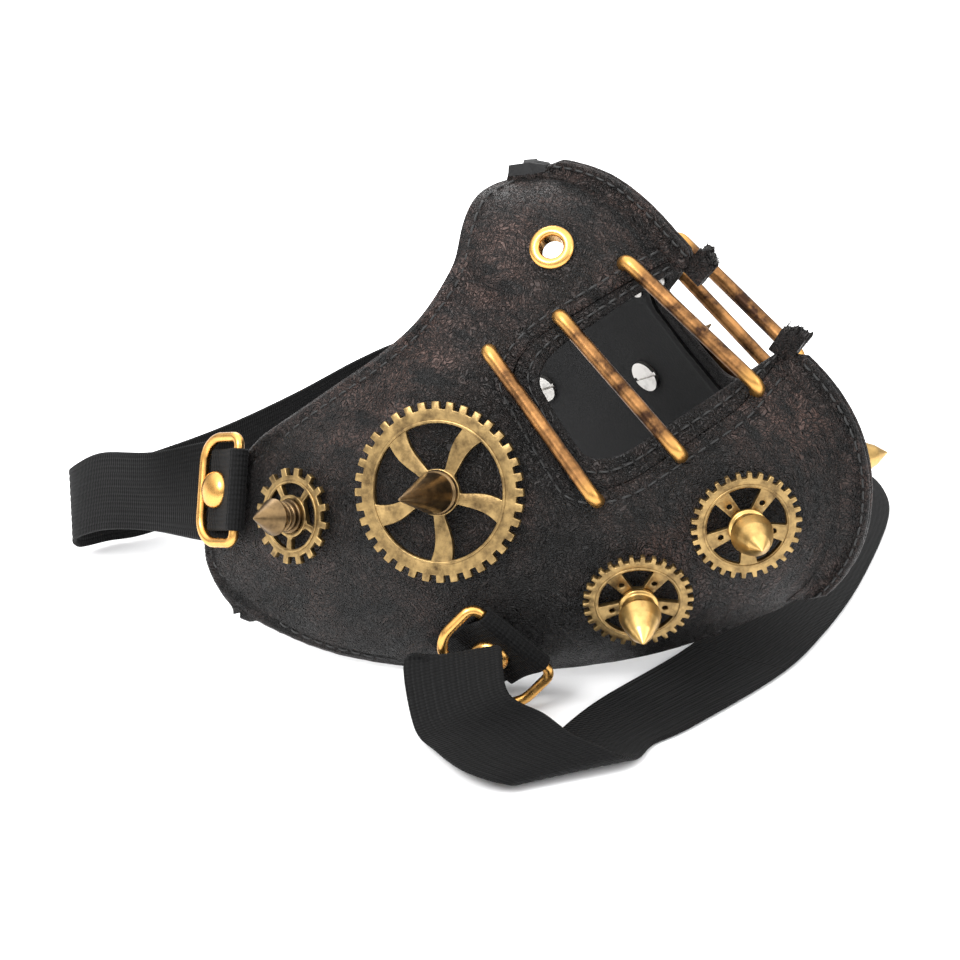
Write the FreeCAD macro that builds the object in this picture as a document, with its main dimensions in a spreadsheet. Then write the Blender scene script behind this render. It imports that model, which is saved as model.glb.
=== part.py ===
import FreeCAD, Part
import math
import os

# Steampunk half-face mask: two moulded leather panels sewn along a raised centre seam, an open
# mouth crossed by bars, gears and spikes screwed on, and two elastic straps on ring tabs.
# The mask rests on its jaw edges on a table. World axes: +Z up, the wearer faces -Y (leaning
# back), the wearer's right side is -X.
from FreeCAD import Placement, Rotation, Vector

SIZES = {
    "lean_back": 43.0, "stand_height": 27.5, "shift_x": -23.55, "shift_y": 2.15,
    "seam_gap": 0.1, "leather_thick": 1.2, "lining_top": 1.3, "lining_thick": 0.7,
    "trim_top": 0.4, "trim_thick": 1.5, "fin_tall": 3.0, "fin_thick": 1.1, "tongue_tall": 6.0,
    "mouth_fit": 0.08,
    "bar_radius": 1.5, "bar_lift": 2.2, "bar_leg": 4.2, "bar_bend": 2.0, "bar_hole": 1.65,
    "washer_radius": 3.2, "washer_thick": 0.6, "washer_bore": 1.6,
    "eyelet_radius": 4.6, "eyelet_bore": 2.35, "eyelet_barrel": 2.95, "eyelet_hole": 3.1,
    "eyelet_crown": 0.9, "eyelet_washer_bore": 3.05, "eyelet_washer_radius": 4.5,
    "gear_lift": 0.5, "gear_thick": 1.4, "gear_bore": 2.0, "spike_foot": 1.92,
    "cheek_gear_radius": 18.2, "cheek_gear_teeth": 36, "ear_gear_radius": 10.2,
    "ear_gear_teeth": 16, "chin_gear_radius": 11.0, "chin_gear_teeth": 30,
    "spike_base": 2.0, "screw_hole": 1.5, "screw_radius": 1.4, "screw_head": 3.8,
    "screw_head_thick": 1.1, "screw_slot": 0.9,
    "wire_radius": 1.1, "ring_long": 23.0, "ring_wide": 12.0, "ring_outer_corner": 5.5,
    "ring_inner_corner": 2.0, "ring_axis": 2.65, "jaw_ring_lift": 25.0,
    "tab_wide": 18.0, "tab_fold": 2.4, "tab_channel": 1.17, "tab_long": 9.3, "tab_low": 1.28,
    "tab_high": 3.05, "jaw_tab_drop": 0.8, "tail_long": 18.0,
    "rivet_place": 6.6, "rivet_hole": 1.45, "rivet_shank": 1.35, "dome_radius": 4.1,
    "dome_tall": 2.5, "rivet_foot": 4.1, "cap_radius": 3.2, "cap_depth": 3.3, "cap_thick": 0.9,
    "strap_wide": 22.0, "strap_thick": 1.1, "strap_low": 0.1, "strap_start": 2.9,
    "loop_wide": 11.0,
}

# Poles of the right panel in the face frame (forward, right, up), mm. Each row runs from the
# centre seam to the ear end; the rows climb from the bottom edge to the top edge.
PANEL_ROWS = [
    [(49, 0, -59), (38, 11, -56), (17, 19, -51), (-6, 41, -30), (-27, 49, -11), (-33, 52, 4)],
    [(66, 0, -60), (57, 12, -57), (38, 26, -50), (9, 41, -36), (-23, 51, -9), (-35, 52, 7)],
    [(84, 0, -47), (77, 12, -43), (58, 27, -40), (25, 43, -31), (-17, 53, -5), (-37, 51, 10)],
    [(89, 0, -26), (83, 10, -24), (64, 24, -22), (32, 45, -17), (-12, 53, 3), (-39, 49, 16)],
    [(80, 0, -4), (76, 8, -4), (62, 20, -3), (31, 45, -2), (-9, 52, 11), (-38, 47, 22)],
    [(77, 0, 14), (74, 8, 14), (62, 20, 16), (34, 41, 15), (1, 46, 21), (-32, 44, 29)],
    [(74, 0, 36), (71, 9, 38), (56, 19, 30), (36, 34, 22), (5, 41, 27), (-20, 42, 32)],
    [(58, 0, 45), (53, 10, 50), (49, 19, 40), (37, 31, 28), (9, 38, 32), (-10, 40, 33)],
]
DEGREE = 3

# Mouth outlines in the front view (right, up, corner radius), and the seam stretches below and
# above the mouth, as fractions of the seam from the chin end to the bridge of the nose.
MOUTH_INNER = [(-8, 10, 0), (27.5, 10, 6), (30, -15, 5), (-8, -15, 0)]
MOUTH_OUTER = [(-8, 11, 0), (8, 12.8, 12), (29.5, 14.5, 7), (33.5, -20.3, 7), (12, -20.3, 10),
               (-8, -13, 0)]
CHIN_SEAM = (0.03, 0.475)
NOSE_SEAM = (0.735, 0.985)

# Seats on the panel: (fraction from seam to ear, fraction from bottom to top, turn in degrees).
SEATS = {
    "eyelet": (0.233, 0.885, 0), "cheek_gear": (0.665, 0.575, 0), "ear_gear": (0.870, 0.641, 0),
    "lower_chin_gear": (0.405, 0.162, 0), "front_chin_gear": (0.209, 0.224, 0),
    "ear_ring": (0.952, 0.79, -13), "jaw_ring": (0.61, 0.14, 29),
}
# Bars: (seam-to-ear, bottom-to-top) of the upper leg, then of the lower leg.
BARS = {
    "front": ((0.133, 0.797), (0.103, 0.449)),
    "middle": ((0.334, 0.786), (0.293, 0.405)),
    "rear": ((0.496, 0.820), (0.458, 0.400)),
}
SPIKED = ("cheek", "ear", "lower_chin", "front_chin")
SIDES = {"right": 1, "left": -1}

# Strap routes: both edges of the flat band at each station, as (forward, right, height over the
# table), mm. The neck strap folds over itself beside the jaw and runs under the chin.
NECK_ROUTE = [
    ((23, 54.5, 15), (38, 51, 11)),
    ((19.5, 55, 11.5), (41, 51.5, 21)),
    ((27, 61.5, 2.5), (47, 57.5, 15.5)),
    ((41, 68, 3), (56, 53, 9)),
    ((50.5, 69, 3.6), (65, 48, 3.6)),
    ((53.5, 68.5, 2.2), (67.5, 47, 2.2)),
    ((51.5, 64, 0.9), (66.5, 44, 0.9)),
    ((50, 46, 0.55), (68, 36, 0.55)),
    ((50, 29, 0.55), (71, 26, 0.55)),
    ((54, 1, 0.55), (76, -2, 0.55)),
    ((54, -22, 0.55), (76, -22, 0.55)),
    ((50, -45, 0.55), (72.5, -50, 0.55)),
    ((42, -79, 0.55), (64, -86, 0.55)),
    ((36, -91, 3), (56, -103, 0.55)),
    ((28, -96, 9), (45, -112, 0.55)),
    ((17, -98, 14), (27, -116, 0.55)),
    ((4, -93, 18), (6, -112, 3)),
    ((-4, -83, 20), (-8, -100, 5)),
    ((1, -71, 21), (-8, -84, 5)),
    ((18, -61, 21), (5, -69, 6)),
    ((41, -52.5, 21), (19.5, -56, 11.5)),
    ((38, -51.5, 11), (23, -55.5, 15)),
]
HEAD_ROUTE = [
    ((-58, 45, 36), (-60.5, 44.5, 15.5)),
    ((-74, 45.2, 32), (-75, 45, 12)),
    ((-84.5, 44.2, 26), (-86, 44.5, 6.5)),
    ((-89.5, 40.5, 22), (-89.5, 41, 1.8)),
    ((-88, 33, 21), (-88, 33, 0.55)),
    ((-84, 22, 21), (-83, 24, 0.55)),
    ((-79, 0, 22), (-77, 0, 1.5)),
    ((-74, -22, 25), (-73, -22, 4)),
    ((-66, -38, 31), (-67, -38, 10)),
    ((-57, -44.5, 36), (-59, -44.5, 15.5)),
]

document = FreeCAD.newDocument("half_face_mask")
sheet = document.addObject("Spreadsheet::Sheet", "sizes")
for row, (alias, value) in enumerate(SIZES.items(), start=1):
    sheet.set("A%d" % row, alias)
    sheet.set("B%d" % row, str(value))
    sheet.setAlias("B%d" % row, alias)
document.recompute()
nodes = []


def size(alias):
    return float(sheet.get(alias))


def add_node(item, label):
    item.Label = label
    nodes.append(item)
    return item


def add_shape(label, shape, placement=None):
    """A finished shape as a document object; its placement is set after its shape."""
    item = document.addObject("Part::Feature", label)
    item.Shape = shape
    if placement is not None:
        item.Placement = placement
    return add_node(item, label)


# ---------------------------------------------------------------- the moulded surface
def table_point(forward, right, height):
    """Forward of the origin, to the wearer's right and above the table, to world."""
    return Vector(size("shift_x") - right, size("shift_y") - forward, height)


def face_point(forward, right, up):
    """Face frame to world: the face leans back, and the jaw edges touch the table."""
    lean = math.radians(size("lean_back"))
    flat_forward = forward * math.cos(lean) - up * math.sin(lean)
    height = forward * math.sin(lean) + up * math.cos(lean) + size("stand_height")
    return table_point(flat_forward, right, height)


def knots_for(count):
    """Clamped, evenly spaced knots: their values and how often each is used."""
    spans = count - DEGREE
    values = [i / spans for i in range(spans + 1)]
    repeats = [DEGREE + 1] + [1] * (spans - 1) + [DEGREE + 1]
    return values, repeats


def surface_of(rows):
    surface = Part.BSplineSurface()
    up_knots, up_repeats = knots_for(len(rows))
    back_knots, back_repeats = knots_for(len(rows[0]))
    surface.buildFromPolesMultsKnots(rows, up_repeats, back_repeats, up_knots, back_knots,
                                     False, False, DEGREE, DEGREE)
    return surface


moulded = surface_of([[face_point(*pole) for pole in row] for row in PANEL_ROWS])


def normal_at(back, up):
    """Unit normal of the moulded surface, pointing out of the mask."""
    toward_ear = moulded.getDN(up, back, 0, 1)
    toward_top = moulded.getDN(up, back, 1, 0)
    normal = toward_ear.cross(toward_top)
    normal.normalize()
    return normal if normal.x < 0 else -normal


def pole_fraction(index, count):
    """Where on the surface a pole pulls most: the mean of its three inner knots."""
    values, repeats = knots_for(count)
    knots = [value for value, repeat in zip(values, repeats) for _ in range(repeat)]
    return sum(knots[index + 1:index + 1 + DEGREE]) / DEGREE


def sunk_surface(depth):
    """The moulded surface sunk by depth along its normals; its seam edge stays beside the seam."""
    rows = []
    for i, row in enumerate(PANEL_ROWS):
        up = pole_fraction(i, len(PANEL_ROWS))
        poles = [face_point(*pole) - normal_at(pole_fraction(j, len(row)), up) * depth
                 for j, pole in enumerate(row)]
        slide = poles[1] - poles[0]
        poles[0] += slide * ((size("shift_x") - size("seam_gap") / 2 - poles[0].x) / slide.x)
        rows.append(poles)
    return surface_of(rows)


def layer(top_depth, bottom_depth):
    """Solid sheet between two sunk surfaces."""
    top = sunk_surface(top_depth)
    bottom = sunk_surface(bottom_depth)
    faces = [top.toShape(), bottom.toShape()]
    for edge in (0, 1):
        faces.append(Part.makeRuledSurface(top.uIso(edge).toShape(), bottom.uIso(edge).toShape()))
        faces.append(Part.makeRuledSurface(top.vIso(edge).toShape(), bottom.vIso(edge).toShape()))
    shell = Part.makeShell(faces)
    shell.sewShape()
    solid = Part.makeSolid(Part.Shell(shell.Faces))
    if solid.Volume < 0:
        solid.reverse()
    return solid


def mirrored(shape):
    return shape.mirror(Vector(size("shift_x"), 0, 0), Vector(1, 0, 0))


# ---------------------------------------------------------------- seats on the surface
def seat(name, side, lift=0.0):
    """Placement on the leather: local z out of the mask, local y from the turn towards the ear."""
    back, up, turn = SEATS[name]
    return seat_at(back, up, turn, side, lift)


def seat_at(back, up, turn, side, lift=0.0):
    origin = moulded.value(up, back)
    normal = normal_at(back, up)
    toward_ear = moulded.getDN(up, back, 0, 1)
    toward_ear.normalize()
    across = normal.cross(toward_ear)
    angle = math.radians(turn)
    local_y = toward_ear * math.cos(angle) + across * math.sin(angle)
    if side == "left":
        origin = Vector(2 * size("shift_x") - origin.x, origin.y, origin.z)
        normal = Vector(-normal.x, normal.y, normal.z)
        local_y = Vector(-local_y.x, local_y.y, local_y.z)
    local_x = local_y.cross(normal)
    turned = Rotation(local_x, local_y, normal, "ZYX")
    return Placement(origin + normal * lift, turned)


def hole_at(place, radius, depth=9.0):
    """Round cutter through the leather and lining at a seat."""
    hole = Part.makeCylinder(radius, 2 * depth, Vector(0, 0, -depth))
    hole.Placement = place
    return hole


def bar_hole_places(side):
    return [seat_at(back, up, 0, side) for pair in BARS.values() for back, up in pair]


def layer_holes(side):
    cutters = [hole_at(seat("eyelet", side), size("eyelet_hole"))]
    cutters += [hole_at(seat(name + "_gear", side), size("screw_hole")) for name in SPIKED]
    cutters += [hole_at(place, size("bar_hole")) for place in bar_hole_places(side)]
    for ring in ("ear_ring", "jaw_ring"):
        local = Placement(Vector(0, size("rivet_place"), 0), Rotation())
        cutters.append(hole_at(seat(ring, side).multiply(local), size("rivet_hole")))
    return cutters


# ---------------------------------------------------------------- panels, linings, trims
def rounded_outline(corners):
    """Closed wire through (x, y, radius) corners, with tangent arcs at rounded corners."""
    edges = []
    count = len(corners)
    tangents = []
    for i in range(count):
        here = Vector(corners[i][0], corners[i][1], 0)
        before = Vector(corners[i - 1][0], corners[i - 1][1], 0) - here
        after = Vector(corners[(i + 1) % count][0], corners[(i + 1) % count][1], 0) - here
        before.normalize()
        after.normalize()
        half = before.getAngle(after) / 2
        cut = corners[i][2] / math.tan(half)
        bisector = before + after
        bisector.normalize()
        nearest = here + bisector * (corners[i][2] / math.sin(half) - corners[i][2])
        tangents.append((here + before * cut, nearest, here + after * cut))
    for i in range(count):
        start, nearest, end = tangents[i]
        if corners[i][2] > 0:
            edges.append(Part.Arc(start, nearest, end).toShape())
        edges.append(Part.LineSegment(end, tangents[(i + 1) % count][0]).toShape())
    return Part.Wire(edges)


def mouth_prism(corners, grow=0.0):
    """Front-view outline pushed straight through the mask along the face's forward axis."""
    wire = rounded_outline(corners)
    if grow:
        wire = wire.makeOffset2D(grow)
    face = Part.Face(wire)
    matrix = FreeCAD.Matrix()
    right = face_point(0, 1, 0) - face_point(0, 0, 0)
    upward = face_point(0, 0, 1) - face_point(0, 0, 0)
    forward = face_point(1, 0, 0) - face_point(0, 0, 0)
    origin = face_point(20, 0, 0)
    matrix.A11, matrix.A21, matrix.A31 = right
    matrix.A12, matrix.A22, matrix.A32 = upward
    matrix.A13, matrix.A23, matrix.A33 = forward
    matrix.A14, matrix.A24, matrix.A34 = origin
    return face.extrude(Vector(0, 0, 90)).transformGeometry(matrix)


def seam_point(up, outward):
    """Point on the centre plane, this far out of the seam line."""
    point = moulded.value(up, 0.0)
    along = moulded.getDN(up, 0.0, 1, 0)
    out = Vector(0, -along.z, along.y)
    out.normalize()
    if out.y > 0 and up < 0.9:
        out = -out
    elif up >= 0.9 and out.z < 0:
        out = -out
    return Vector(size("shift_x"), point.y, point.z) + out * outward


def seam_strip(span, inward, outward, steps):
    """Flat strip on the right of the centre plane, following the seam over a span."""
    stops = [span[0] + (span[1] - span[0]) * i / steps for i in range(steps + 1)]
    low = [seam_point(up, -inward) for up in stops]
    high = [seam_point(up, outward) for up in stops]
    curves = []
    for points in (low, high):
        curve = Part.BSplineCurve()
        curve.interpolate(points)
        curves.append(curve.toShape())
    ends = [Part.LineSegment(low[i], high[i]).toShape() for i in (0, -1)]
    face = Part.Face(Part.Wire([curves[0], ends[1], curves[1], ends[0]]))
    strip = face.extrude(Vector(-size("fin_thick"), 0, 0))
    strip.translate(Vector(-size("seam_gap"), 0, 0))
    return strip


def build_leather():
    outer_mouth = mouth_prism(MOUTH_OUTER)
    panel = layer(0.0, size("leather_thick")).cut(outer_mouth)
    for span in (CHIN_SEAM, NOSE_SEAM):
        panel = panel.fuse(seam_strip(span, 0.6, size("fin_tall"), 12))
    lining_bottom = size("lining_top") + size("lining_thick")
    lining_mouth = mouth_prism(MOUTH_OUTER, size("mouth_fit"))
    lining = layer(size("lining_top"), lining_bottom).cut(lining_mouth)
    band = mouth_prism(MOUTH_OUTER, -size("mouth_fit")).cut(mouth_prism(MOUTH_INNER))
    trim = layer(size("trim_top"), size("trim_top") + size("trim_thick")).common(band)
    tongue_room = mouth_prism(MOUTH_OUTER, -size("mouth_fit"))
    tongue = 0.035
    gap = 0.004
    for start, end in ((CHIN_SEAM[1] + gap, CHIN_SEAM[1] + tongue),
                       (NOSE_SEAM[0] - tongue, NOSE_SEAM[0] - gap)):
        trim = trim.fuse(seam_strip((start, end), 1.0, size("tongue_tall"), 3).common(tongue_room))
    cutters = layer_holes("right")
    pieces = {"panel": panel, "lining": lining, "mouth_trim": trim}
    for name, shape in pieces.items():
        solid = max(shape.cut(cutters).Solids, key=lambda item: item.Volume)
        add_shape("right_" + name, solid)
        add_shape("left_" + name, mirrored(solid))


# ---------------------------------------------------------------- bars and their washers
def rounded_path(points, radius):
    """Straight runs joined by tangent arcs."""
    edges = []
    start = points[0]
    for i in range(1, len(points) - 1):
        here = points[i]
        before = points[i - 1] - here
        after = points[i + 1] - here
        before.normalize()
        after.normalize()
        half = before.getAngle(after) / 2
        cut = radius / math.tan(half)
        bisector = before + after
        bisector.normalize()
        nearest = here + bisector * (radius / math.sin(half) - radius)
        edges.append(Part.LineSegment(start, here + before * cut).toShape())
        edges.append(Part.Arc(here + before * cut, nearest, here + after * cut).toShape())
        start = here + after * cut
    edges.append(Part.LineSegment(start, points[-1]).toShape())
    return Part.Wire(edges)


def rod_along(points, radius, bend):
    path = rounded_path(points, bend)
    direction = points[1] - points[0]
    section = Part.Wire([Part.Circle(points[0], direction, radius).toShape()])
    return path.makePipeShell([section], True, False)


def build_bars():
    washers = []
    washer_top = size("lining_top") + size("lining_thick") + 0.25
    for side in SIDES:
        for name, legs in BARS.items():
            upper, lower = [seat_at(back, up, 0, side) for back, up in legs]
            points = [upper.multVec(Vector(0, 0, -size("bar_leg"))),
                      upper.multVec(Vector(0, 0, size("bar_lift"))),
                      lower.multVec(Vector(0, 0, size("bar_lift"))),
                      lower.multVec(Vector(0, 0, -size("bar_leg")))]
            rod = rod_along(points, size("bar_radius"), size("bar_bend"))
            add_shape("%s_%s_mouth_bar" % (side, name), rod)
            for place in (upper, lower):
                low = Vector(0, 0, -washer_top - size("washer_thick"))
                washer = Part.makeCylinder(size("washer_radius"), size("washer_thick"), low)
                washer = washer.cut(Part.makeCylinder(size("washer_bore"), 9, Vector(0, 0, -6)))
                washer.Placement = place
                washers.append(washer)
    add_shape("bar_washers", Part.makeCompound(washers))


# ---------------------------------------------------------------- turned pieces
def plane_of(body, role):
    return [item for item in body.Origin.OriginFeatures if item.Role == role][0]


def turned_body(label, outline, placement):
    """Body turned about its z axis from a half section of (radius, height) points."""
    body = document.addObject("PartDesign::Body", label)
    sketch = body.newObject("Sketcher::SketchObject", label + "_section")
    sketch.AttachmentSupport = [(plane_of(body, "XZ_Plane"), "")]
    sketch.MapMode = "FlatFace"
    points = [Vector(radius, height, 0) for radius, height in outline]
    sketch.addGeometry([Part.LineSegment(points[i], points[(i + 1) % len(points)])
                        for i in range(len(points))])
    turned = body.newObject("PartDesign::Revolution", label + "_turned")
    turned.Profile = sketch
    turned.ReferenceAxis = (sketch, ["V_Axis"])
    turned.Angle = 360
    body.Placement = placement
    return add_node(body, label)


def arc_outline(radius, low, high, steps):
    """Convex quarter curve from (radius, low) up to (0.05, high)."""
    curve = []
    for i in range(steps + 1):
        angle = math.radians(90 * i / steps)
        curve.append((max(radius * math.cos(angle), 0.05), low + (high - low) * math.sin(angle)))
    return curve


def spike_outline(kind):
    foot, base, hole = size("spike_foot"), size("spike_base"), size("screw_hole")
    start = [(hole, 6.0), (hole, 0.15), (foot, 0.15), (foot, base)]
    if kind == "cheek":
        shape = [(4.4, base), (4.6, base + 0.4), (4.4, base + 1.1), (3.9, base + 1.4),
                 (4.2, base + 2.4), (0.25, 21.0)]
    elif kind == "ear":
        shape = [(3.6, base), (3.6, base + 0.8)]
        for i in range(3):
            ring = base + 1.3 + i * 1.2
            shape += [(2.7, ring - 0.35), (3.2, ring), (3.2, ring + 0.45), (2.7, ring + 0.7)]
        shape += [(3.9, 6.7), (3.9, 7.1), (0.2, 12.6)]
    else:
        shape = [(3.6, base), (3.9, base + 0.3), (3.9, base + 1.0), (3.3, base + 1.3),
                 (3.1, base + 2.6), (3.2, base + 3.4), (4.1, base + 3.7), (4.2, base + 4.3),
                 (3.5, base + 6.8), (2.2, base + 9.8), (0.2, 14.6)]
    return start + shape + [(0, shape[-1][1] + 0.1), (0, 6.0)]


def eyelet_outline():
    bore, barrel, rim, crown = (size(name) for name in
                                ("eyelet_bore", "eyelet_barrel", "eyelet_radius", "eyelet_crown"))
    low = 0.25
    top = low + crown
    middle = (bore + rim) / 2
    return [(bore, -2.9), (bore, low + 0.5), (bore + 0.35, top - 0.15), (middle, top),
            (rim - 0.4, top - 0.3), (rim, low + 0.3), (rim, low), (barrel, low), (barrel, -2.9)]


def dome_outline():
    shank, rim = size("rivet_shank"), size("dome_radius")
    low = size("tab_high") + 0.05
    dome = [(rim, low), (rim, low + 0.35)]
    dome += arc_outline(rim * 0.985, low + 0.4, low + size("dome_tall"), 8)
    foot = -size("rivet_foot")
    return [(0, foot), (shank, foot), (shank, low)] + dome[:-1] + [(0, low + size("dome_tall"))]


def build_turned():
    caps, washers, screws = [], [], []
    head_top = size("lining_top") + size("lining_thick") + 0.15
    for side in SIDES:
        turned_body(side + "_eyelet", eyelet_outline(), seat("eyelet", side))
        washer = Part.makeCylinder(size("eyelet_washer_radius"), 0.5, Vector(0, 0, -head_top - 0.5))
        washer = washer.cut(Part.makeCylinder(size("eyelet_washer_bore"), 9, Vector(0, 0, -6)))
        washer.Placement = seat("eyelet", side)
        washers.append(washer)
        for name in SPIKED:
            kind = name if name in ("cheek", "ear") else "chin"
            turned_body("%s_%s_spike" % (side, name), spike_outline(kind), seat(name + "_gear", side))
            head = Part.makeCylinder(size("screw_head"), size("screw_head_thick"),
                                     Vector(0, 0, -head_top - size("screw_head_thick")))
            slot = Part.makeBox(size("screw_slot"), 9, 0.6,
                                Vector(-size("screw_slot") / 2, -4.5, -head_top - size("screw_head_thick")))
            shank = Part.makeCylinder(size("screw_radius"), head_top + 5.6, Vector(0, 0, -head_top - 0.2))
            screw = head.cut(slot).fuse(shank)
            screw.Placement = seat(name + "_gear", side)
            screws.append(screw)
        for ring in ("ear", "jaw"):
            place = seat(ring + "_ring", side).multiply(
                Placement(Vector(0, size("rivet_place"), 0), Rotation()))
            turned_body("%s_%s_dome_rivet" % (side, ring), dome_outline(), place)
            cap_low = Vector(0, 0, -size("cap_depth") - size("cap_thick"))
            cap = Part.makeCylinder(size("cap_radius"), size("cap_thick"), cap_low)
            cap = cap.cut(Part.makeCylinder(size("rivet_hole"), 9, Vector(0, 0, -6)))
            cap.Placement = place
            caps.append(cap)
    add_shape("rivet_caps", Part.makeCompound(caps))
    add_shape("eyelet_washers", Part.makeCompound(washers))
    add_shape("spike_screws", Part.makeCompound(screws))


# ---------------------------------------------------------------- gears
def polar(radius, degrees):
    angle = math.radians(degrees)
    return Vector(radius * math.cos(angle), radius * math.sin(angle), 0)


def segments(points):
    return [Part.LineSegment(points[i], points[(i + 1) % len(points)]) for i in range(len(points))]


def tooth_outline(radius, teeth, depth, tip, root):
    """Closed toothed outline; tip and root are the shares of a pitch at each level."""
    pitch = 360.0 / teeth
    points = []
    for i in range(teeth):
        middle = i * pitch
        points += [polar(radius - depth, middle - pitch * root / 2),
                   polar(radius, middle - pitch * tip / 2),
                   polar(radius, middle + pitch * tip / 2),
                   polar(radius - depth, middle + pitch * root / 2)]
    return segments(points)


def window_outline(start, end, inner, outer, spoke, flare, bend, steps=6):
    """Opening between two spokes from start to end degrees; the spokes flare outwards and bend."""
    points = []
    for i in range(steps + 1):
        share = i / steps
        radius = inner + (outer - inner) * share
        half = math.degrees(spoke / 2 * (1 + flare * share) / radius)
        points.append(polar(radius, start + half + bend * math.sin(math.pi * share)))
    sweep_start = start + math.degrees(spoke / 2 * (1 + flare) / outer)
    sweep_end = end - math.degrees(spoke / 2 * (1 + flare) / outer)
    for i in range(1, steps):
        points.append(polar(outer, sweep_start + (sweep_end - sweep_start) * i / steps))
    for i in range(steps, -1, -1):
        share = i / steps
        radius = inner + (outer - inner) * share
        half = math.degrees(spoke / 2 * (1 + flare * share) / radius)
        points.append(polar(radius, end - half + bend * math.sin(math.pi * share)))
    return segments(points)


GEAR_KINDS = {
    # name: radius alias, teeth alias, tooth depth, tip and root shares, window inner and outer
    # radius as shares of the gear's, spoke width at the hub, its growth, bend in degrees, hole radius
    "cheek_gear": ("cheek_gear_radius", "cheek_gear_teeth", 1.5, 0.5, 0.56, 0.27, 0.76, 2.3, 1.0, 4, 0),
    "ear_gear": ("ear_gear_radius", "ear_gear_teeth", 1.6, 0.36, 0.40, 0.47, 0.68, 1.1, 0.3, 0, 0),
    "chin_gear": ("chin_gear_radius", "chin_gear_teeth", 1.2, 0.36, 0.50, 0.30, 0.72, 2.3, 0.5, 0, 0.55),
}
SPOKES = 5


def gear_body(label, kind, placement):
    radius_name, teeth_name, depth, tip, root, inner, outer, spoke, flare, bend, hole = GEAR_KINDS[kind]
    radius = size(radius_name)
    body = document.addObject("PartDesign::Body", label)
    sketch = body.newObject("Sketcher::SketchObject", label + "_outline")
    sketch.AttachmentSupport = [(plane_of(body, "XY_Plane"), "")]
    sketch.MapMode = "FlatFace"
    sketch.addGeometry(tooth_outline(radius, int(size(teeth_name)), depth, tip, root))
    up = Vector(0, 0, 1)
    sketch.addGeometry(Part.Circle(Vector(), up, size("gear_bore")))
    step = 360.0 / SPOKES
    first = 90.0
    for i in range(SPOKES):
        start = first + i * step
        sketch.addGeometry(window_outline(start, start + step, inner * radius, outer * radius,
                                          spoke, flare, bend))
        if hole:
            sketch.addGeometry(Part.Circle(polar(0.5 * radius, start), up, hole))
    pad = body.newObject("PartDesign::Pad", label + "_pad")
    pad.Profile = sketch
    pad.setExpression("Length", "sizes.gear_thick")
    body.Placement = placement
    return add_node(body, label)


def build_gears():
    for side in SIDES:
        for name in SPIKED:
            kind = name + "_gear" if name in ("cheek", "ear") else "chin_gear"
            gear_body("%s_%s_gear" % (side, name), kind, seat(name + "_gear", side, size("gear_lift")))


# ---------------------------------------------------------------- rings and tabs
def ring_place(ring, side):
    """The ring's own frame: its inner bar lies on local x, the ring reaches along local y."""
    place = seat(ring + "_ring", side).multiply(Placement(Vector(0, 0, size("ring_axis")), Rotation()))
    lift = size("jaw_ring_lift") if ring == "jaw" else 0.0
    return place.multiply(Placement(Vector(), Rotation(Vector(1, 0, 0), lift)))


def ring_shape():
    half, wide = size("ring_long") / 2, size("ring_wide")
    inner, outer = size("ring_inner_corner"), size("ring_outer_corner")
    wire = rounded_outline([(-half, 0, inner), (half, 0, inner), (half, wide, outer), (-half, wide, outer)])
    start = wire.OrderedEdges[1].valueAt(wire.OrderedEdges[1].FirstParameter)
    section = Part.Wire([Part.Circle(start, wire.OrderedEdges[1].tangentAt(
        wire.OrderedEdges[1].FirstParameter), size("wire_radius")).toShape()])
    path = Part.Wire(wire.OrderedEdges[1:] + wire.OrderedEdges[:1])
    return path.makePipeShell([section], True, False)


def boolean(kind, name, base, tool):
    result = document.addObject(kind, name)
    result.Base = base
    result.Tool = tool
    return result


def tail_patch(side):
    """Long end of a jaw tab: elastic lying on the curved leather, in the ring seat's frame."""
    low = size("strap_low")
    sheet_of_elastic = layer(-low - size("strap_thick"), -low)
    sheet_of_elastic.Placement = seat("jaw_ring", "right").inverse()
    reach = Part.makeBox(size("tab_wide"), size("tail_long") - size("strap_start"), 12,
                         Vector(-size("tab_wide") / 2, size("strap_start"), -10))
    patch = sheet_of_elastic.common(reach)
    return patch if side == "right" else patch.mirror(Vector(), Vector(1, 0, 0))


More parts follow.
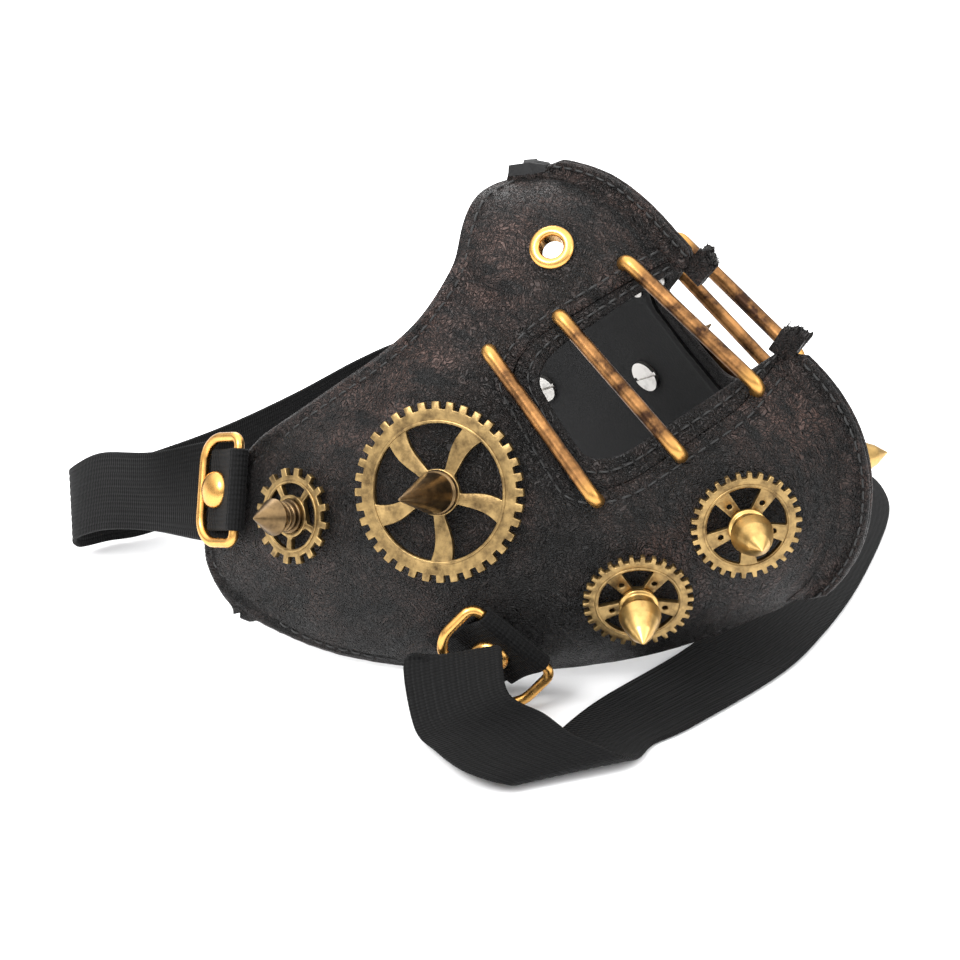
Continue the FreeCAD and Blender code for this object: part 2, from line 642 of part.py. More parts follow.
def tab_node(label, ring, side):
    """Elastic folded round the inner bar: two layers in a block, the fold, and the bar's channel."""
    fold = document.addObject("Part::Cylinder", label + "_fold")
    fold.setExpression("Radius", "sizes.tab_fold")
    fold.setExpression("Height", "sizes.tab_wide")
    fold.setExpression("Placement.Base.x", "-sizes.tab_wide / 2")
    fold.setExpression("Placement.Base.z", "sizes.ring_axis")
    fold.Placement.Rotation = Rotation(Vector(0, 1, 0), 90)
    block = document.addObject("Part::Box", label + "_layers")
    block.setExpression("Length", "sizes.tab_wide")
    block.setExpression("Width", "sizes.tab_long")
    low = "sizes.tab_low" if ring == "ear" else "(sizes.tab_low - sizes.jaw_tab_drop)"
    block.setExpression("Height", "sizes.tab_high - " + low)
    block.setExpression("Placement.Base.x", "-sizes.tab_wide / 2")
    block.setExpression("Placement.Base.z", low)
    body = boolean("Part::Fuse", label + "_body", fold, block)
    if ring == "jaw":
        tail = document.addObject("Part::Feature", label + "_tail")
        tail.Shape = tail_patch(side)
        body = boolean("Part::Fuse", label + "_with_tail", body, tail)
    channel = document.addObject("Part::Cylinder", label + "_channel")
    channel.setExpression("Radius", "sizes.tab_channel")
    channel.setExpression("Height", "sizes.tab_wide + 2")
    channel.setExpression("Placement.Base.x", "-sizes.tab_wide / 2 - 1")
    channel.setExpression("Placement.Base.z", "sizes.ring_axis")
    channel.Placement.Rotation = Rotation(Vector(0, 1, 0), 90)
    body = boolean("Part::Cut", label + "_open", body, channel)
    hole = document.addObject("Part::Cylinder", label + "_rivet_hole")
    hole.setExpression("Radius", "sizes.rivet_hole")
    hole.Height = 8
    hole.setExpression("Placement.Base.y", "sizes.rivet_place")
    hole.Placement.Base.z = -1
    body = boolean("Part::Cut", label, body, hole)
    body.Placement = seat(ring + "_ring", side)
    return add_node(body, label)


def build_rings():
    for side in SIDES:
        for ring in ("ear", "jaw"):
            add_shape("%s_%s_ring" % (side, ring), ring_shape(), ring_place(ring, side))
            tab_node("%s_%s_tab" % (side, ring), ring, side)


# ---------------------------------------------------------------- straps
def band_solid(stations):
    """Loft of flat rectangular sections through pairs of edge points."""
    thick = size("strap_thick")
    middles = [(left + right) * 0.5 for left, right in stations]
    wires = []
    for i, (left, right) in enumerate(stations):
        along = middles[min(i + 1, len(middles) - 1)] - middles[max(i - 1, 0)]
        across = right - left
        out = along.cross(across)
        out.normalize()
        step = out * (thick / 2)
        corners = [left + step, right + step, right - step, left - step]
        wires.append(Part.makePolygon(corners + corners[:1]))
    solid = Part.makeLoft(wires, True, True)
    if solid.Volume < 0:
        solid.reverse()
    return solid


def local_station(place, half, along, height):
    """Station under a ring: the band's two edges on local x, this far along local y."""
    return (place.multVec(Vector(half, along, height)), place.multVec(Vector(-half, along, height)))


def route_stations(route):
    return [(table_point(*left), table_point(*right)) for left, right in route]


def build_head_strap():
    """From under one ear tab, out past the ring, round behind and back to the other ear."""
    half = size("strap_wide") / 2
    middle = size("strap_low") + size("strap_thick") / 2
    places = {side: seat("ear_ring", side) for side in SIDES}
    start = [local_station(places["right"], half, along, height)
             for along, height in ((size("strap_start"), middle), (14.5, middle))]
    finish = [local_station(places["left"], half, along, height)
              for along, height in ((14.5, middle), (size("strap_start"), middle))]
    finish = [(right, left) for left, right in finish]
    strap = band_solid(start + route_stations(HEAD_ROUTE) + finish)
    holes = [hole_at(places[side].multiply(Placement(Vector(0, size("rivet_place"), 0), Rotation())),
                     size("rivet_hole")) for side in SIDES]
    add_shape("head_strap", strap.cut(holes))


def build_neck_strap():
    """Looped round the outer bar of each jaw ring and laid under the chin."""
    half = size("loop_wide") / 2
    wide = size("ring_wide")
    inner = size("wire_radius") + 0.2
    outer = inner + size("strap_thick")
    loops, ends = [], []
    for side in SIDES:
        place = ring_place("jaw", side)
        start = Vector(-half, wide, 0)
        loop = Part.makeCylinder(outer, size("loop_wide"), start, Vector(1, 0, 0))
        loop = loop.cut(Part.makeCylinder(inner, size("loop_wide") + 2, start - Vector(1, 0, 0),
                                          Vector(1, 0, 0)))
        loop.Placement = place
        loops.append(loop)
        rise = inner + size("strap_thick") / 2
        ends.append([local_station(place, half, wide + rise - 0.05, -0.5),
                     local_station(place, half + 1.5, wide + 1.8, 3.4)])
    strap = band_solid(ends[0] + route_stations(NECK_ROUTE) + ends[1][::-1])
    add_shape("neck_strap", strap.fuse(loops))


build_leather()
build_bars()
build_turned()
build_gears()
build_rings()
build_head_strap()
build_neck_strap()
document.recompute()

# ---------------------------------------------------------------- checks and export
faults = []
for item in document.Objects:
    if "Invalid" in item.State or "Error" in item.State:
        faults.append(item.Label + " did not recompute")
for node in nodes:
    if node.Shape.isNull() or not node.Shape.isValid() or not node.Shape.Solids:
        faults.append(node.Label + " has no valid solid")
if faults:
    raise RuntimeError("; ".join(faults))

os.makedirs("parts", exist_ok=True)
whole = FreeCAD.BoundBox()
for node in nodes:
    whole.add(node.Shape.BoundBox)
    node.Shape.exportStep("parts/%s.step" % node.Label)
print(len(nodes), "nodes; box", whole)
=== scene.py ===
import math

import bpy
import bmesh
import numpy as np
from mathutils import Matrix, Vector, kdtree, noise
from mathutils.geometry import delaunay_2d_cdt


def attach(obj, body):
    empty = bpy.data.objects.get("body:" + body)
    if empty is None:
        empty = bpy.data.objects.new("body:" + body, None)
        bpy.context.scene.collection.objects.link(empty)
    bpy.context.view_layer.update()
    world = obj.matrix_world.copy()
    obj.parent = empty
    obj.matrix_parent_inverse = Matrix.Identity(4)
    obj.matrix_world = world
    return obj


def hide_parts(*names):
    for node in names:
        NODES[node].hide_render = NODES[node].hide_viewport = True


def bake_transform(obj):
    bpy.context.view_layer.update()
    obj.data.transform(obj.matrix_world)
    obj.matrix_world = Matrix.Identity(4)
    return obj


# Steampunk half-face mask on a table: moulded cracked leather, brass gears, spikes and rings,
# bronze mouth bars and ribbed elastic straps. Lengths are worked out in millimetres and turned
# into metres when a mesh is made. World: +Z up, the wearer faces -Y, the wearer's right is -X.
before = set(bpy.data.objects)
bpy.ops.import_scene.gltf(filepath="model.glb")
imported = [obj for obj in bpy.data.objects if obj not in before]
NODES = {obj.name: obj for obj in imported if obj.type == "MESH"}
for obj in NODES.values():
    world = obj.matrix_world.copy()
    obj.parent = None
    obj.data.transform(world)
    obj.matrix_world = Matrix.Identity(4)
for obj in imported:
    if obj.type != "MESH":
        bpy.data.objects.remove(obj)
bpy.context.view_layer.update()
MM = 0.001

# ---------------------------------------------------------------- sizes shared with the CAD part
SHIFT_X = -23.55
SHIFT_Y = 2.15
STAND = 27.5
LEAN = math.radians(43.0)
PANEL_ROWS = [
    [(49, 0, -59), (38, 11, -56), (17, 19, -51), (-6, 41, -30), (-27, 49, -11), (-33, 52, 4)],
    [(66, 0, -60), (57, 12, -57), (38, 26, -50), (9, 41, -36), (-23, 51, -9), (-35, 52, 7)],
    [(84, 0, -47), (77, 12, -43), (58, 27, -40), (25, 43, -31), (-17, 53, -5), (-37, 51, 10)],
    [(89, 0, -26), (83, 10, -24), (64, 24, -22), (32, 45, -17), (-12, 53, 3), (-39, 49, 16)],
    [(80, 0, -4), (76, 8, -4), (62, 20, -3), (31, 45, -2), (-9, 52, 11), (-38, 47, 22)],
    [(77, 0, 14), (74, 8, 14), (62, 20, 16), (34, 41, 15), (1, 46, 21), (-32, 44, 29)],
    [(74, 0, 36), (71, 9, 38), (56, 19, 30), (36, 34, 22), (5, 41, 27), (-20, 42, 32)],
    [(58, 0, 45), (53, 10, 50), (49, 19, 40), (37, 31, 28), (9, 38, 32), (-10, 40, 33)],
]
MOUTH_INNER = [(-8, 10, 0), (27.5, 10, 6), (30, -15, 5), (-8, -15, 0)]
MOUTH_OUTER = [(-8, 11, 0), (8, 12.8, 12), (29.5, 14.5, 7), (33.5, -20.3, 7), (12, -20.3, 10),
               (-8, -13, 0)]
CHIN_SEAM = (0.03, 0.475)
NOSE_SEAM = (0.735, 0.985)
SEATS = {
    "eyelet": (0.233, 0.885, 0), "cheek_gear": (0.665, 0.575, 0), "ear_gear": (0.870, 0.641, 0),
    "lower_chin_gear": (0.405, 0.162, 0), "front_chin_gear": (0.209, 0.224, 0),
    "ear_ring": (0.952, 0.79, -13), "jaw_ring": (0.61, 0.14, 29),
}
BARS = {
    "front": ((0.133, 0.797), (0.103, 0.449)),
    "middle": ((0.334, 0.786), (0.293, 0.405)),
    "rear": ((0.496, 0.820), (0.458, 0.400)),
}
NECK_ROUTE = [
    ((23, 54.5, 15), (38, 51, 11)), ((19.5, 55, 11.5), (41, 51.5, 21)),
    ((27, 61.5, 2.5), (47, 57.5, 15.5)), ((36, 66.5, 2.8), (53.5, 54.5, 11.5)),
    ((44, 69.5, 3.2), (59, 53.5, 8.5)), ((50.5, 69.5, 3.2), (64, 51.5, 6.5)),
    ((53.5, 67.5, 2.4), (67.5, 49, 4.4)), ((53.5, 63.5, 1.2), (68.5, 45.5, 2.4)),
    ((51.5, 57, 0.8), (68.5, 42, 1.2)), ((50, 46, 0.7), (68, 36, 0.7)),
    ((50, 29, 0.7), (71, 26, 0.7)), ((54, 1, 0.7), (76, -2, 0.7)),
    ((54, -22, 0.7), (76, -22, 0.7)), ((50, -45, 0.7), (72.5, -50, 0.7)),
    ((42, -79, 0.7), (64, -86, 0.7)), ((36, -91, 3), (56, -103, 0.8)),
    ((28, -96, 9), (45, -112, 0.9)), ((17, -98, 14), (27, -116, 0.9)),
    ((4, -93, 18), (6, -112, 3)), ((-4, -83, 20), (-8, -100, 5)),
    ((1, -71, 21), (-8, -84, 5)), ((18, -61, 21), (5, -69, 6)),
    ((41, -52.5, 21), (19.5, -56, 11.5)), ((38, -51.5, 11), (23, -55.5, 15)),
]
HEAD_ROUTE = [
    ((-58, 45, 36), (-60.5, 44.5, 15.5)), ((-74, 45.2, 32), (-75, 45, 12)),
    ((-84.5, 44.2, 26), (-86, 44.5, 6.5)), ((-89.5, 40.5, 22), (-89.5, 41, 1.8)),
    ((-88, 33, 21), (-88, 33, 0.7)), ((-84, 22, 21), (-83, 24, 0.7)),
    ((-79, 0, 22), (-77, 0, 1.5)), ((-74, -22, 25), (-73, -22, 4)),
    ((-66, -38, 31), (-67, -38, 10)), ((-57, -44.5, 36), (-59, -44.5, 15.5)),
]
SPIKED = ("cheek", "ear", "lower_chin", "front_chin")
SIDES = ("right", "left")
SIDE_SIGNS = (("right", -1), ("left", 1))
LEATHER_THICK = 1.2
LINING_TOP, LINING_THICK = 1.3, 0.7
SEAM_GAP = 0.1
RING_AXIS = 2.65
JAW_RING_LIFT = math.radians(25.0)
RIVET_PLACE = 6.6
RING_LONG, RING_WIDE = 23.0, 12.0
RING_ROD = 1.1
BAR_ROD, BAR_DEEP, BAR_RISE, BAR_BEND = 1.5, 4.2, 2.2, 2.0
BAR_BEND_STEPS = 8
EYELET_CUT = 3.0
GEAR_LIFT, GEAR_THICK = 0.5, 1.4
GEAR_RIM_LOW, GEAR_RIM_HIGH = 1.2, 1.62
TAB_HALF, TAB_FOLD = 8.9, 1.78
STRAP_LOOP = 1.9


def unit(vector):
    return vector / np.linalg.norm(vector)


def table_point(forward, right, height):
    return np.array([SHIFT_X - right, SHIFT_Y - forward, height], float)


def face_point(forward, right, up):
    flat_forward = forward * math.cos(LEAN) - up * math.sin(LEAN)
    return table_point(flat_forward, right, forward * math.sin(LEAN) + up * math.cos(LEAN) + STAND)


# ---------------------------------------------------------------- the moulded surface
POLES = np.array([[face_point(*pole) for pole in row] for row in PANEL_ROWS])
FACE_POLES = np.array(PANEL_ROWS, float)


def basis(values, count):
    """Cubic B-spline weights, one row per value, on clamped evenly spaced knots."""
    values = np.clip(np.atleast_1d(values), 0.0, 1.0 - 1e-9)
    inner = np.linspace(0, 1, count - 2)
    knots = np.concatenate([[0] * 3, inner, [1] * 3])
    weights = np.array([(values >= knots[i]) & (values < knots[i + 1])
                        for i in range(len(knots) - 1)], float)
    for degree in (1, 2, 3):
        raised = []
        for i in range(len(knots) - 1 - degree):
            low = knots[i + degree] - knots[i]
            high = knots[i + degree + 1] - knots[i + 1]
            term = np.zeros(len(values))
            if low > 0:
                term += (values - knots[i]) / low * weights[i]
            if high > 0:
                term += (knots[i + degree + 1] - values) / high * weights[i + 1]
            raised.append(term)
        weights = np.array(raised)
    return weights.T


def spline(back, up, poles=POLES):
    return np.einsum("ai,aj,ijk->ak", basis(up, len(poles)), basis(back, len(poles[0])), poles)


def slopes(back, up):
    """Surface derivatives towards the ear and towards the top."""
    step = 1e-4
    back, up = np.atleast_1d(back), np.atleast_1d(up)
    b0, b1 = np.clip(back - step, 0, 1), np.clip(back + step, 0, 1)
    u0, u1 = np.clip(up - step, 0, 1), np.clip(up + step, 0, 1)
    toward_ear = (spline(b1, up) - spline(b0, up)) / (b1 - b0)[:, None]
    toward_top = (spline(back, u1) - spline(back, u0)) / (u1 - u0)[:, None]
    return toward_ear, toward_top


def normals(back, up):
    toward_ear, toward_top = slopes(back, up)
    result = np.cross(toward_ear, toward_top)
    result /= np.linalg.norm(result, axis=1)[:, None]
    return np.where(result[:, :1] < 0, result, -result)


def moved(back, up, offset):
    """Surface parameters after moving by a small world vector along the surface."""
    toward_ear, toward_top = slopes(back, up)
    result = []
    for i in range(len(toward_ear)):
        matrix = np.array([toward_ear[i], toward_top[i]]).T
        change = np.linalg.lstsq(matrix, np.atleast_2d(offset)[min(i, len(np.atleast_2d(offset)) - 1)],
                                 rcond=None)[0]
        result.append((np.atleast_1d(back)[i] + change[0], np.atleast_1d(up)[i] + change[1]))
    return np.array(result)


def seat_axes(back, up, turn, side):
    """Origin, local x, local y and outward normal of a seat."""
    origin = spline(back, up)[0]
    normal = normals(back, up)[0]
    toward_ear = unit(slopes(back, up)[0][0])
    across = np.cross(normal, toward_ear)
    angle = math.radians(turn)
    local_y = toward_ear * math.cos(angle) + across * math.sin(angle)
    if side == "left":
        origin = np.array([2 * SHIFT_X - origin[0], origin[1], origin[2]])
        normal = normal * (-1, 1, 1)
        local_y = local_y * (-1, 1, 1)
    return origin, np.cross(local_y, normal), local_y, normal


class Seat:
    """A place on the leather: turns local millimetres into world millimetres."""

    def __init__(self, name, side, lift=0.0):
        self.origin, self.x, self.y, self.z = seat_axes(*SEATS[name], side)
        self.origin = self.origin + self.z * lift

    def tilted(self, angle):
        other = Seat.__new__(Seat)
        other.origin, other.x = self.origin, self.x
        other.y = self.y * math.cos(angle) + self.z * math.sin(angle)
        other.z = self.z * math.cos(angle) - self.y * math.sin(angle)
        return other

    def world(self, points):
        points = np.atleast_2d(np.array(points, float))
        return self.origin + points[:, :1] * self.x + points[:, 1:2] * self.y + points[:, 2:] * self.z


def ring_seat(ring, side):
    place = Seat(ring + "_ring", side, RING_AXIS)
    return place.tilted(JAW_RING_LIFT) if ring == "jaw" else place


# ---------------------------------------------------------------- meshes
def make_mesh(name, points, faces, material, sharp=50.0):
    """Object from millimetre points, smooth but for edges sharper than the given angle."""
    name = name.replace(" ", "-")
    mesh = bpy.data.meshes.new(name)
    mesh.from_pydata((np.asarray(points) * MM).tolist(), [], [list(face) for face in faces])
    mesh.validate()
    work = bmesh.new()
    work.from_mesh(mesh)
    bmesh.ops.recalc_face_normals(work, faces=work.faces)
    work.to_mesh(mesh)
    work.free()
    mesh.shade_smooth()
    mesh.set_sharp_from_angle(angle=math.radians(sharp))
    item = bpy.data.objects.new(name, mesh)
    bpy.context.scene.collection.objects.link(item)
    mesh.materials.append(material)
    return item


class Pile:
    """Collects many small shapes into one mesh."""

    def __init__(self):
        self.points = []
        self.faces = []

    def add(self, points, faces):
        start = len(self.points)
        self.points.extend(np.asarray(points, float).tolist())
        self.faces.extend([[start + i for i in face] for face in faces])

    def build(self, name, material, **options):
        return make_mesh(name, self.points, self.faces, material, **options)


def grid_faces(rows, columns, close_rows=False, close_columns=False):
    faces = []
    for i in range(rows if close_rows else rows - 1):
        for j in range(columns if close_columns else columns - 1):
            a, b = i * columns + j, i * columns + (j + 1) % columns
            c, d = ((i + 1) % rows) * columns + (j + 1) % columns, ((i + 1) % rows) * columns + j
            faces.append([a, b, c, d])
    return faces


def capped_faces(rows, columns):
    """Faces of a tube of rings, with both ends closed."""
    first = list(range(columns))
    return grid_faces(rows, columns, False, True) + [first, [(rows - 1) * columns + j for j in first]]


def tube_shape(path, radius, around=16, closed=False):
    """Round rod along a path; radius may be one number or one per point."""
    path = np.asarray(path, float)
    count = len(path)
    radii = np.broadcast_to(np.asarray(radius, float), count)
    ahead = np.roll(path, -1, axis=0) - np.roll(path, 1, axis=0) if closed else np.gradient(path, axis=0)
    ahead /= np.linalg.norm(ahead, axis=1)[:, None]
    side = unit(np.cross(ahead[0], (0.31, 0.17, 0.93)))
    points = []
    for i in range(count):
        side = unit(side - ahead[i] * np.dot(side, ahead[i]))
        other = np.cross(ahead[i], side)
        for j in range(around):
            angle = 2 * math.pi * j / around
            points.append(path[i] + radii[i] * (math.cos(angle) * side + math.sin(angle) * other))
    faces = grid_faces(count, around, closed, True)
    if closed:
        # the frame may come round turned, so the last ring is joined to its nearest start point
        faces = faces[:-around]
        last = (count - 1) * around
        gaps = [np.linalg.norm(np.array(points[last]) - points[j]) for j in range(around)]
        shift = int(np.argmin(gaps))
        for j in range(around):
            after = (j + 1) % around
            faces.append([last + j, last + after, (shift + j + 1) % around, (shift + j) % around])
    else:
        faces.append(list(range(around))[::-1])
        faces.append([(count - 1) * around + j for j in range(around)])
    return points, faces


def lathe_shape(outline, place, around=48):
    """Turned shape from (radius, height) points about a seat's normal; ends close on the axis."""
    points = []
    for radius, height in outline:
        for j in range(around):
            angle = 2 * math.pi * j / around
            points.append((radius * math.cos(angle), radius * math.sin(angle), height))
    faces = grid_faces(len(outline), around, False, True)
    return place.world(points), faces


def softened(outline, radius, steps=3):
    """Rounds the corners of an open (radius, height) outline."""
    points = [np.array(point, float) for point in outline]
    result = [points[0]]
    for i in range(1, len(points) - 1):
        before, after = points[i - 1] - points[i], points[i + 1] - points[i]
        reach = min(radius, 0.4 * np.linalg.norm(before), 0.4 * np.linalg.norm(after))
        start, end = points[i] + unit(before) * reach, points[i] + unit(after) * reach
        for k in range(steps + 1):
            t = k / steps
            result.append((1 - t) ** 2 * start + 2 * t * (1 - t) * points[i] + t * t * end)
    result.append(points[-1])
    return result


def rounded_loop(corners, spacing):
    """Points round a closed outline of (x, y, radius) corners, about evenly spaced."""
    count = len(corners)
    dense = []
    for i in range(count):
        here = np.array(corners[i][:2], float)
        before = unit(np.array(corners[i - 1][:2], float) - here)
        after = unit(np.array(corners[(i + 1) % count][:2], float) - here)
        radius = corners[i][2]
        if radius == 0:
            dense.append(here)
            continue
        half = math.acos(np.clip(np.dot(before, after), -1, 1)) / 2
        start, end = here + before * radius / math.tan(half), here + after * radius / math.tan(half)
        centre = here + unit(before + after) * radius / math.sin(half)
        a0 = math.atan2(*(start - centre)[::-1])
        turn = (math.atan2(*(end - centre)[::-1]) - a0 + math.pi) % (2 * math.pi) - math.pi
        for k in range(13):
            angle = a0 + turn * k / 12
            dense.append(centre + radius * np.array([math.cos(angle), math.sin(angle)]))
    dense = np.array(dense + dense[:1])
    return resample(dense, spacing)[:-1]


def running_length(points):
    """Length along a path from its start to each of its points."""
    return np.concatenate([[0], np.cumsum(np.linalg.norm(np.diff(points, axis=0), axis=1))])


def at_lengths(wanted, lengths, values):
    """Rows of values read off at the wanted lengths."""
    return np.array([np.interp(wanted, lengths, column) for column in values.T]).T


def resample(points, spacing):
    points = np.asarray(points, float)
    lengths = running_length(points)
    count = max(2, int(round(lengths[-1] / spacing)) + 1)
    return at_lengths(np.linspace(0, lengths[-1], count), lengths, points)


def inside(points, loop):
    """Which 2-D points lie inside a closed loop."""
    x, y = points[:, 0], points[:, 1]
    result = np.zeros(len(points), bool)
    for (x0, y0), (x1, y1) in zip(loop, np.roll(loop, -1, axis=0)):
        crosses = (y0 > y) != (y1 > y)
        if y1 != y0:
            result ^= crosses & (x < (x1 - x0) * (y - y0) / (y1 - y0) + x0)
    return result


def near_loop(points, loops, reach):
    tree = kdtree.KDTree(sum(len(loop) for loop in loops))
    for i, point in enumerate(np.concatenate(loops)):
        tree.insert((point[0], point[1], 0), i)
    tree.balance()
    return np.array([tree.find((x, y, 0))[2] < reach for x, y in points])


def filled(outer, holes, extra):
    """Triangles that fill a 2-D outline with holes, using extra points inside."""
    loops = [np.asarray(outer)] + [np.asarray(hole) for hole in holes]
    points, edges = [], []
    for loop in loops:
        start = len(points)
        points += [tuple(point) for point in loop]
        edges += [(start + i, start + (i + 1) % len(loop)) for i in range(len(loop))]
    if len(extra):
        points += [tuple(point) for point in extra]
    result = delaunay_2d_cdt([Vector(point) for point in points], edges, [], 0, 1e-6)
    spots = np.array([(point.x, point.y) for point in result[0]])
    faces = [list(face) for face in result[2]]
    middles = np.array([spots[face].mean(axis=0) for face in faces])
    keep = inside(middles, loops[0])
    for hole in loops[1:]:
        keep &= ~inside(middles, hole)
    return spots, [face for face, good in zip(faces, keep) if good]


def thickened(points, faces, directions, top, bottom):
    """Closed shell from an open sheet: raised by top, sunk by bottom along its directions."""
    count = len(points)
    uses = {}
    for face in faces:
        for i in range(len(face)):
            edge = (face[i], face[(i + 1) % len(face)])
            uses[edge] = uses.get(edge, 0) + 1
    border = [edge for edge in uses if (edge[1], edge[0]) not in uses]
    both = np.concatenate([points + directions * top, points - directions * bottom])
    shell = [list(face) for face in faces] + [[i + count for i in face[::-1]] for face in faces]
    shell += [[b, a, a + count, b + count] for a, b in border]
    return both, shell


def bevel(item, width, segments, angle):
    """Rounds an object's sharp edges for good and shades it by angle."""
    modifier = item.modifiers.new("rounding", "BEVEL")
    modifier.width = width * MM
    modifier.segments = segments
    modifier.limit_method = "ANGLE"
    modifier.angle_limit = math.radians(angle)
    modifier.use_clamp_overlap = True
    graph = bpy.context.evaluated_depsgraph_get()
    mesh = bpy.data.meshes.new_from_object(item.evaluated_get(graph))
    item.modifiers.clear()
    item.data = mesh
    mesh.shade_smooth()
    mesh.set_sharp_from_angle(angle=math.radians(50))


def mirror_x(points):
    points = np.array(points, float)
    points[:, 0] = 2 * SHIFT_X - points[:, 0]
    return points


def on_side(points, side):
    """Points made for the right side, mirrored for the left."""
    return points if side == "right" else mirror_x(points)


# ---------------------------------------------------------------- materials
def new_material(name):
    material = bpy.data.materials.new(name)
    material.use_nodes = True
    tree = material.node_tree
    return material, tree, tree.nodes["Principled BSDF"]


def node(tree, kind, **values):
    item = tree.nodes.new(kind)
    for name, value in values.items():
        if name in item.inputs:
            item.inputs[name].default_value = value
        else:
            setattr(item, name, value)
    return item


def ramp(tree, source, stops):
    """Colour ramp from (position, colour) stops."""
    item = tree.nodes.new("ShaderNodeValToRGB")
    while len(item.color_ramp.elements) > 1:
        item.color_ramp.elements.remove(item.color_ramp.elements[-1])
    for i, (position, colour) in enumerate(stops):
        stop = item.color_ramp.elements[0] if i == 0 else item.color_ramp.elements.new(position)
        stop.position = position
        stop.color = (colour, colour, colour, 1) if isinstance(colour, (int, float)) else (*colour, 1)
    tree.links.new(source, item.inputs["Fac"])
    return item.outputs["Color"]


def mix(tree, factor, first, second, kind="MIX"):
    item = tree.nodes.new("ShaderNodeMix")
    item.data_type = "RGBA"
    item.blend_type = kind
    for socket, value in ((item.inputs[0], factor), (item.inputs[6], first), (item.inputs[7], second)):
        if hasattr(value, "links"):
            tree.links.new(value, socket)
        elif isinstance(value, tuple):
            socket.default_value = (*value, 1)
        else:
            socket.default_value = value
    return item.outputs[2]


def product(tree, first, second):
    return mix(tree, 1.0, first, second, "MULTIPLY")


def total(tree, first, second):
    return mix(tree, 1.0, first, second, "ADD")


def object_space(tree, scale=(1, 1, 1)):
    source = tree.nodes.new("ShaderNodeTexCoord")
    mapping = tree.nodes.new("ShaderNodeMapping")
    mapping.inputs["Scale"].default_value = scale
    tree.links.new(source.outputs["Object"], mapping.inputs["Vector"])
    return mapping.outputs["Vector"]


def noise_of(tree, vector, scale, detail=4.0, rough=0.6):
    item = node(tree, "ShaderNodeTexNoise", Scale=scale, Detail=detail, Roughness=rough)
    tree.links.new(vector, item.inputs["Vector"])
    return item.outputs["Fac"]


def bump_of(tree, height, strength, distance, normal=None):
    item = node(tree, "ShaderNodeBump", Strength=strength, Distance=distance)
    tree.links.new(height, item.inputs["Height"])
    if normal is not None:
        tree.links.new(normal, item.inputs["Normal"])
    return item.outputs["Normal"]


def leather_material(name, wear_gain=1.0):
    """Near-black faux leather with fine cracked grain, rubbed brown-pink where it is worn."""
    material, tree, shader = new_material(name)
    place = object_space(tree)
    wobble = node(tree, "ShaderNodeTexNoise", Scale=160.0, Detail=3.0)
    tree.links.new(place, wobble.inputs["Vector"])
    warped = mix(tree, 0.012, place, wobble.outputs["Color"], "ADD")
    cracks = []
    for scale, width in ((640.0, 0.12), (1250.0, 0.16)):
        cell = node(tree, "ShaderNodeTexVoronoi", Scale=scale)
        cell.feature = "DISTANCE_TO_EDGE"
        tree.links.new(warped, cell.inputs["Vector"])
        cracks.append(ramp(tree, cell.outputs["Distance"], [(0.0, 0.0), (width, 1.0)]))
    fine = noise_of(tree, place, 2600.0, 2.0)
    broad = noise_of(tree, place, 32.0, 5.0, 0.62)
    streaks = noise_of(tree, object_space(tree, (1.0, 0.22, 0.35)), 420.0, 5.0, 0.7)
    wear = node(tree, "ShaderNodeAttribute", attribute_name="wear")
    patch = product(tree, ramp(tree, broad, [(0.50, 0.0), (0.74, 1.0)]),
                    ramp(tree, streaks, [(0.42, 0.0), (0.68, 1.0)]))
    rubbed = product(tree, wear.outputs["Color"], ramp(tree, streaks, [(0.38, 0.0), (0.68, 1.0)]))
    amount = total(tree, product(tree, patch, (0.40 * wear_gain,) * 3), rubbed)
    amount = product(tree, amount, product(tree, cracks[0], (0.8, 0.8, 0.8)))
    tone = ramp(tree, noise_of(tree, place, 90.0, 3.0), [(0.3, (0.085, 0.044, 0.033)),
                                                       (0.7, (0.150, 0.094, 0.080))])
    dark = ramp(tree, streaks, [(0.3, (0.0018, 0.0018, 0.0019)), (0.75, (0.0075, 0.0068, 0.0066))])
    grooves = total(tree, product(tree, cracks[1], (0.6, 0.6, 0.6)), (0.4, 0.4, 0.4))
    tree.links.new(product(tree, mix(tree, amount, dark, tone), grooves), shader.inputs["Base Color"])
    rough = ramp(tree, streaks, [(0.2, 0.30), (0.8, 0.56)])
    tree.links.new(rough, shader.inputs["Roughness"])
    shader.inputs["Specular IOR Level"].default_value = 0.24
    normal = bump_of(tree, cracks[0], 0.9, 0.0003)
    normal = bump_of(tree, cracks[1], 1.0, 0.0003, normal)
    normal = bump_of(tree, streaks, 0.6, 0.0004, normal)
    normal = bump_of(tree, fine, 0.6, 0.0003, normal)
    tree.links.new(normal, shader.inputs["Normal"])
    return material


def metal_material(name, bright, dark, roughness, stain=(0.45, 0.75), scale=220.0, bump=0.1):
    """Cast or drawn metal with darker tarnish in patches and a slightly uneven face."""
    material, tree, shader = new_material(name)
    place = object_space(tree)
    cloud = noise_of(tree, place, scale, 5.0, 0.65)
    fine = noise_of(tree, place, scale * 7, 3.0)
    mask = ramp(tree, cloud, [(stain[0], 0.0), (stain[1], 1.0)])
    tree.links.new(mix(tree, mask, bright, dark), shader.inputs["Base Color"])
    shader.inputs["Metallic"].default_value = 1.0
    tree.links.new(ramp(tree, fine, [(0.25, roughness), (0.8, roughness + 0.14)]),
                   shader.inputs["Roughness"])
    tree.links.new(bump_of(tree, fine, bump, 0.0001), shader.inputs["Normal"])
    return material


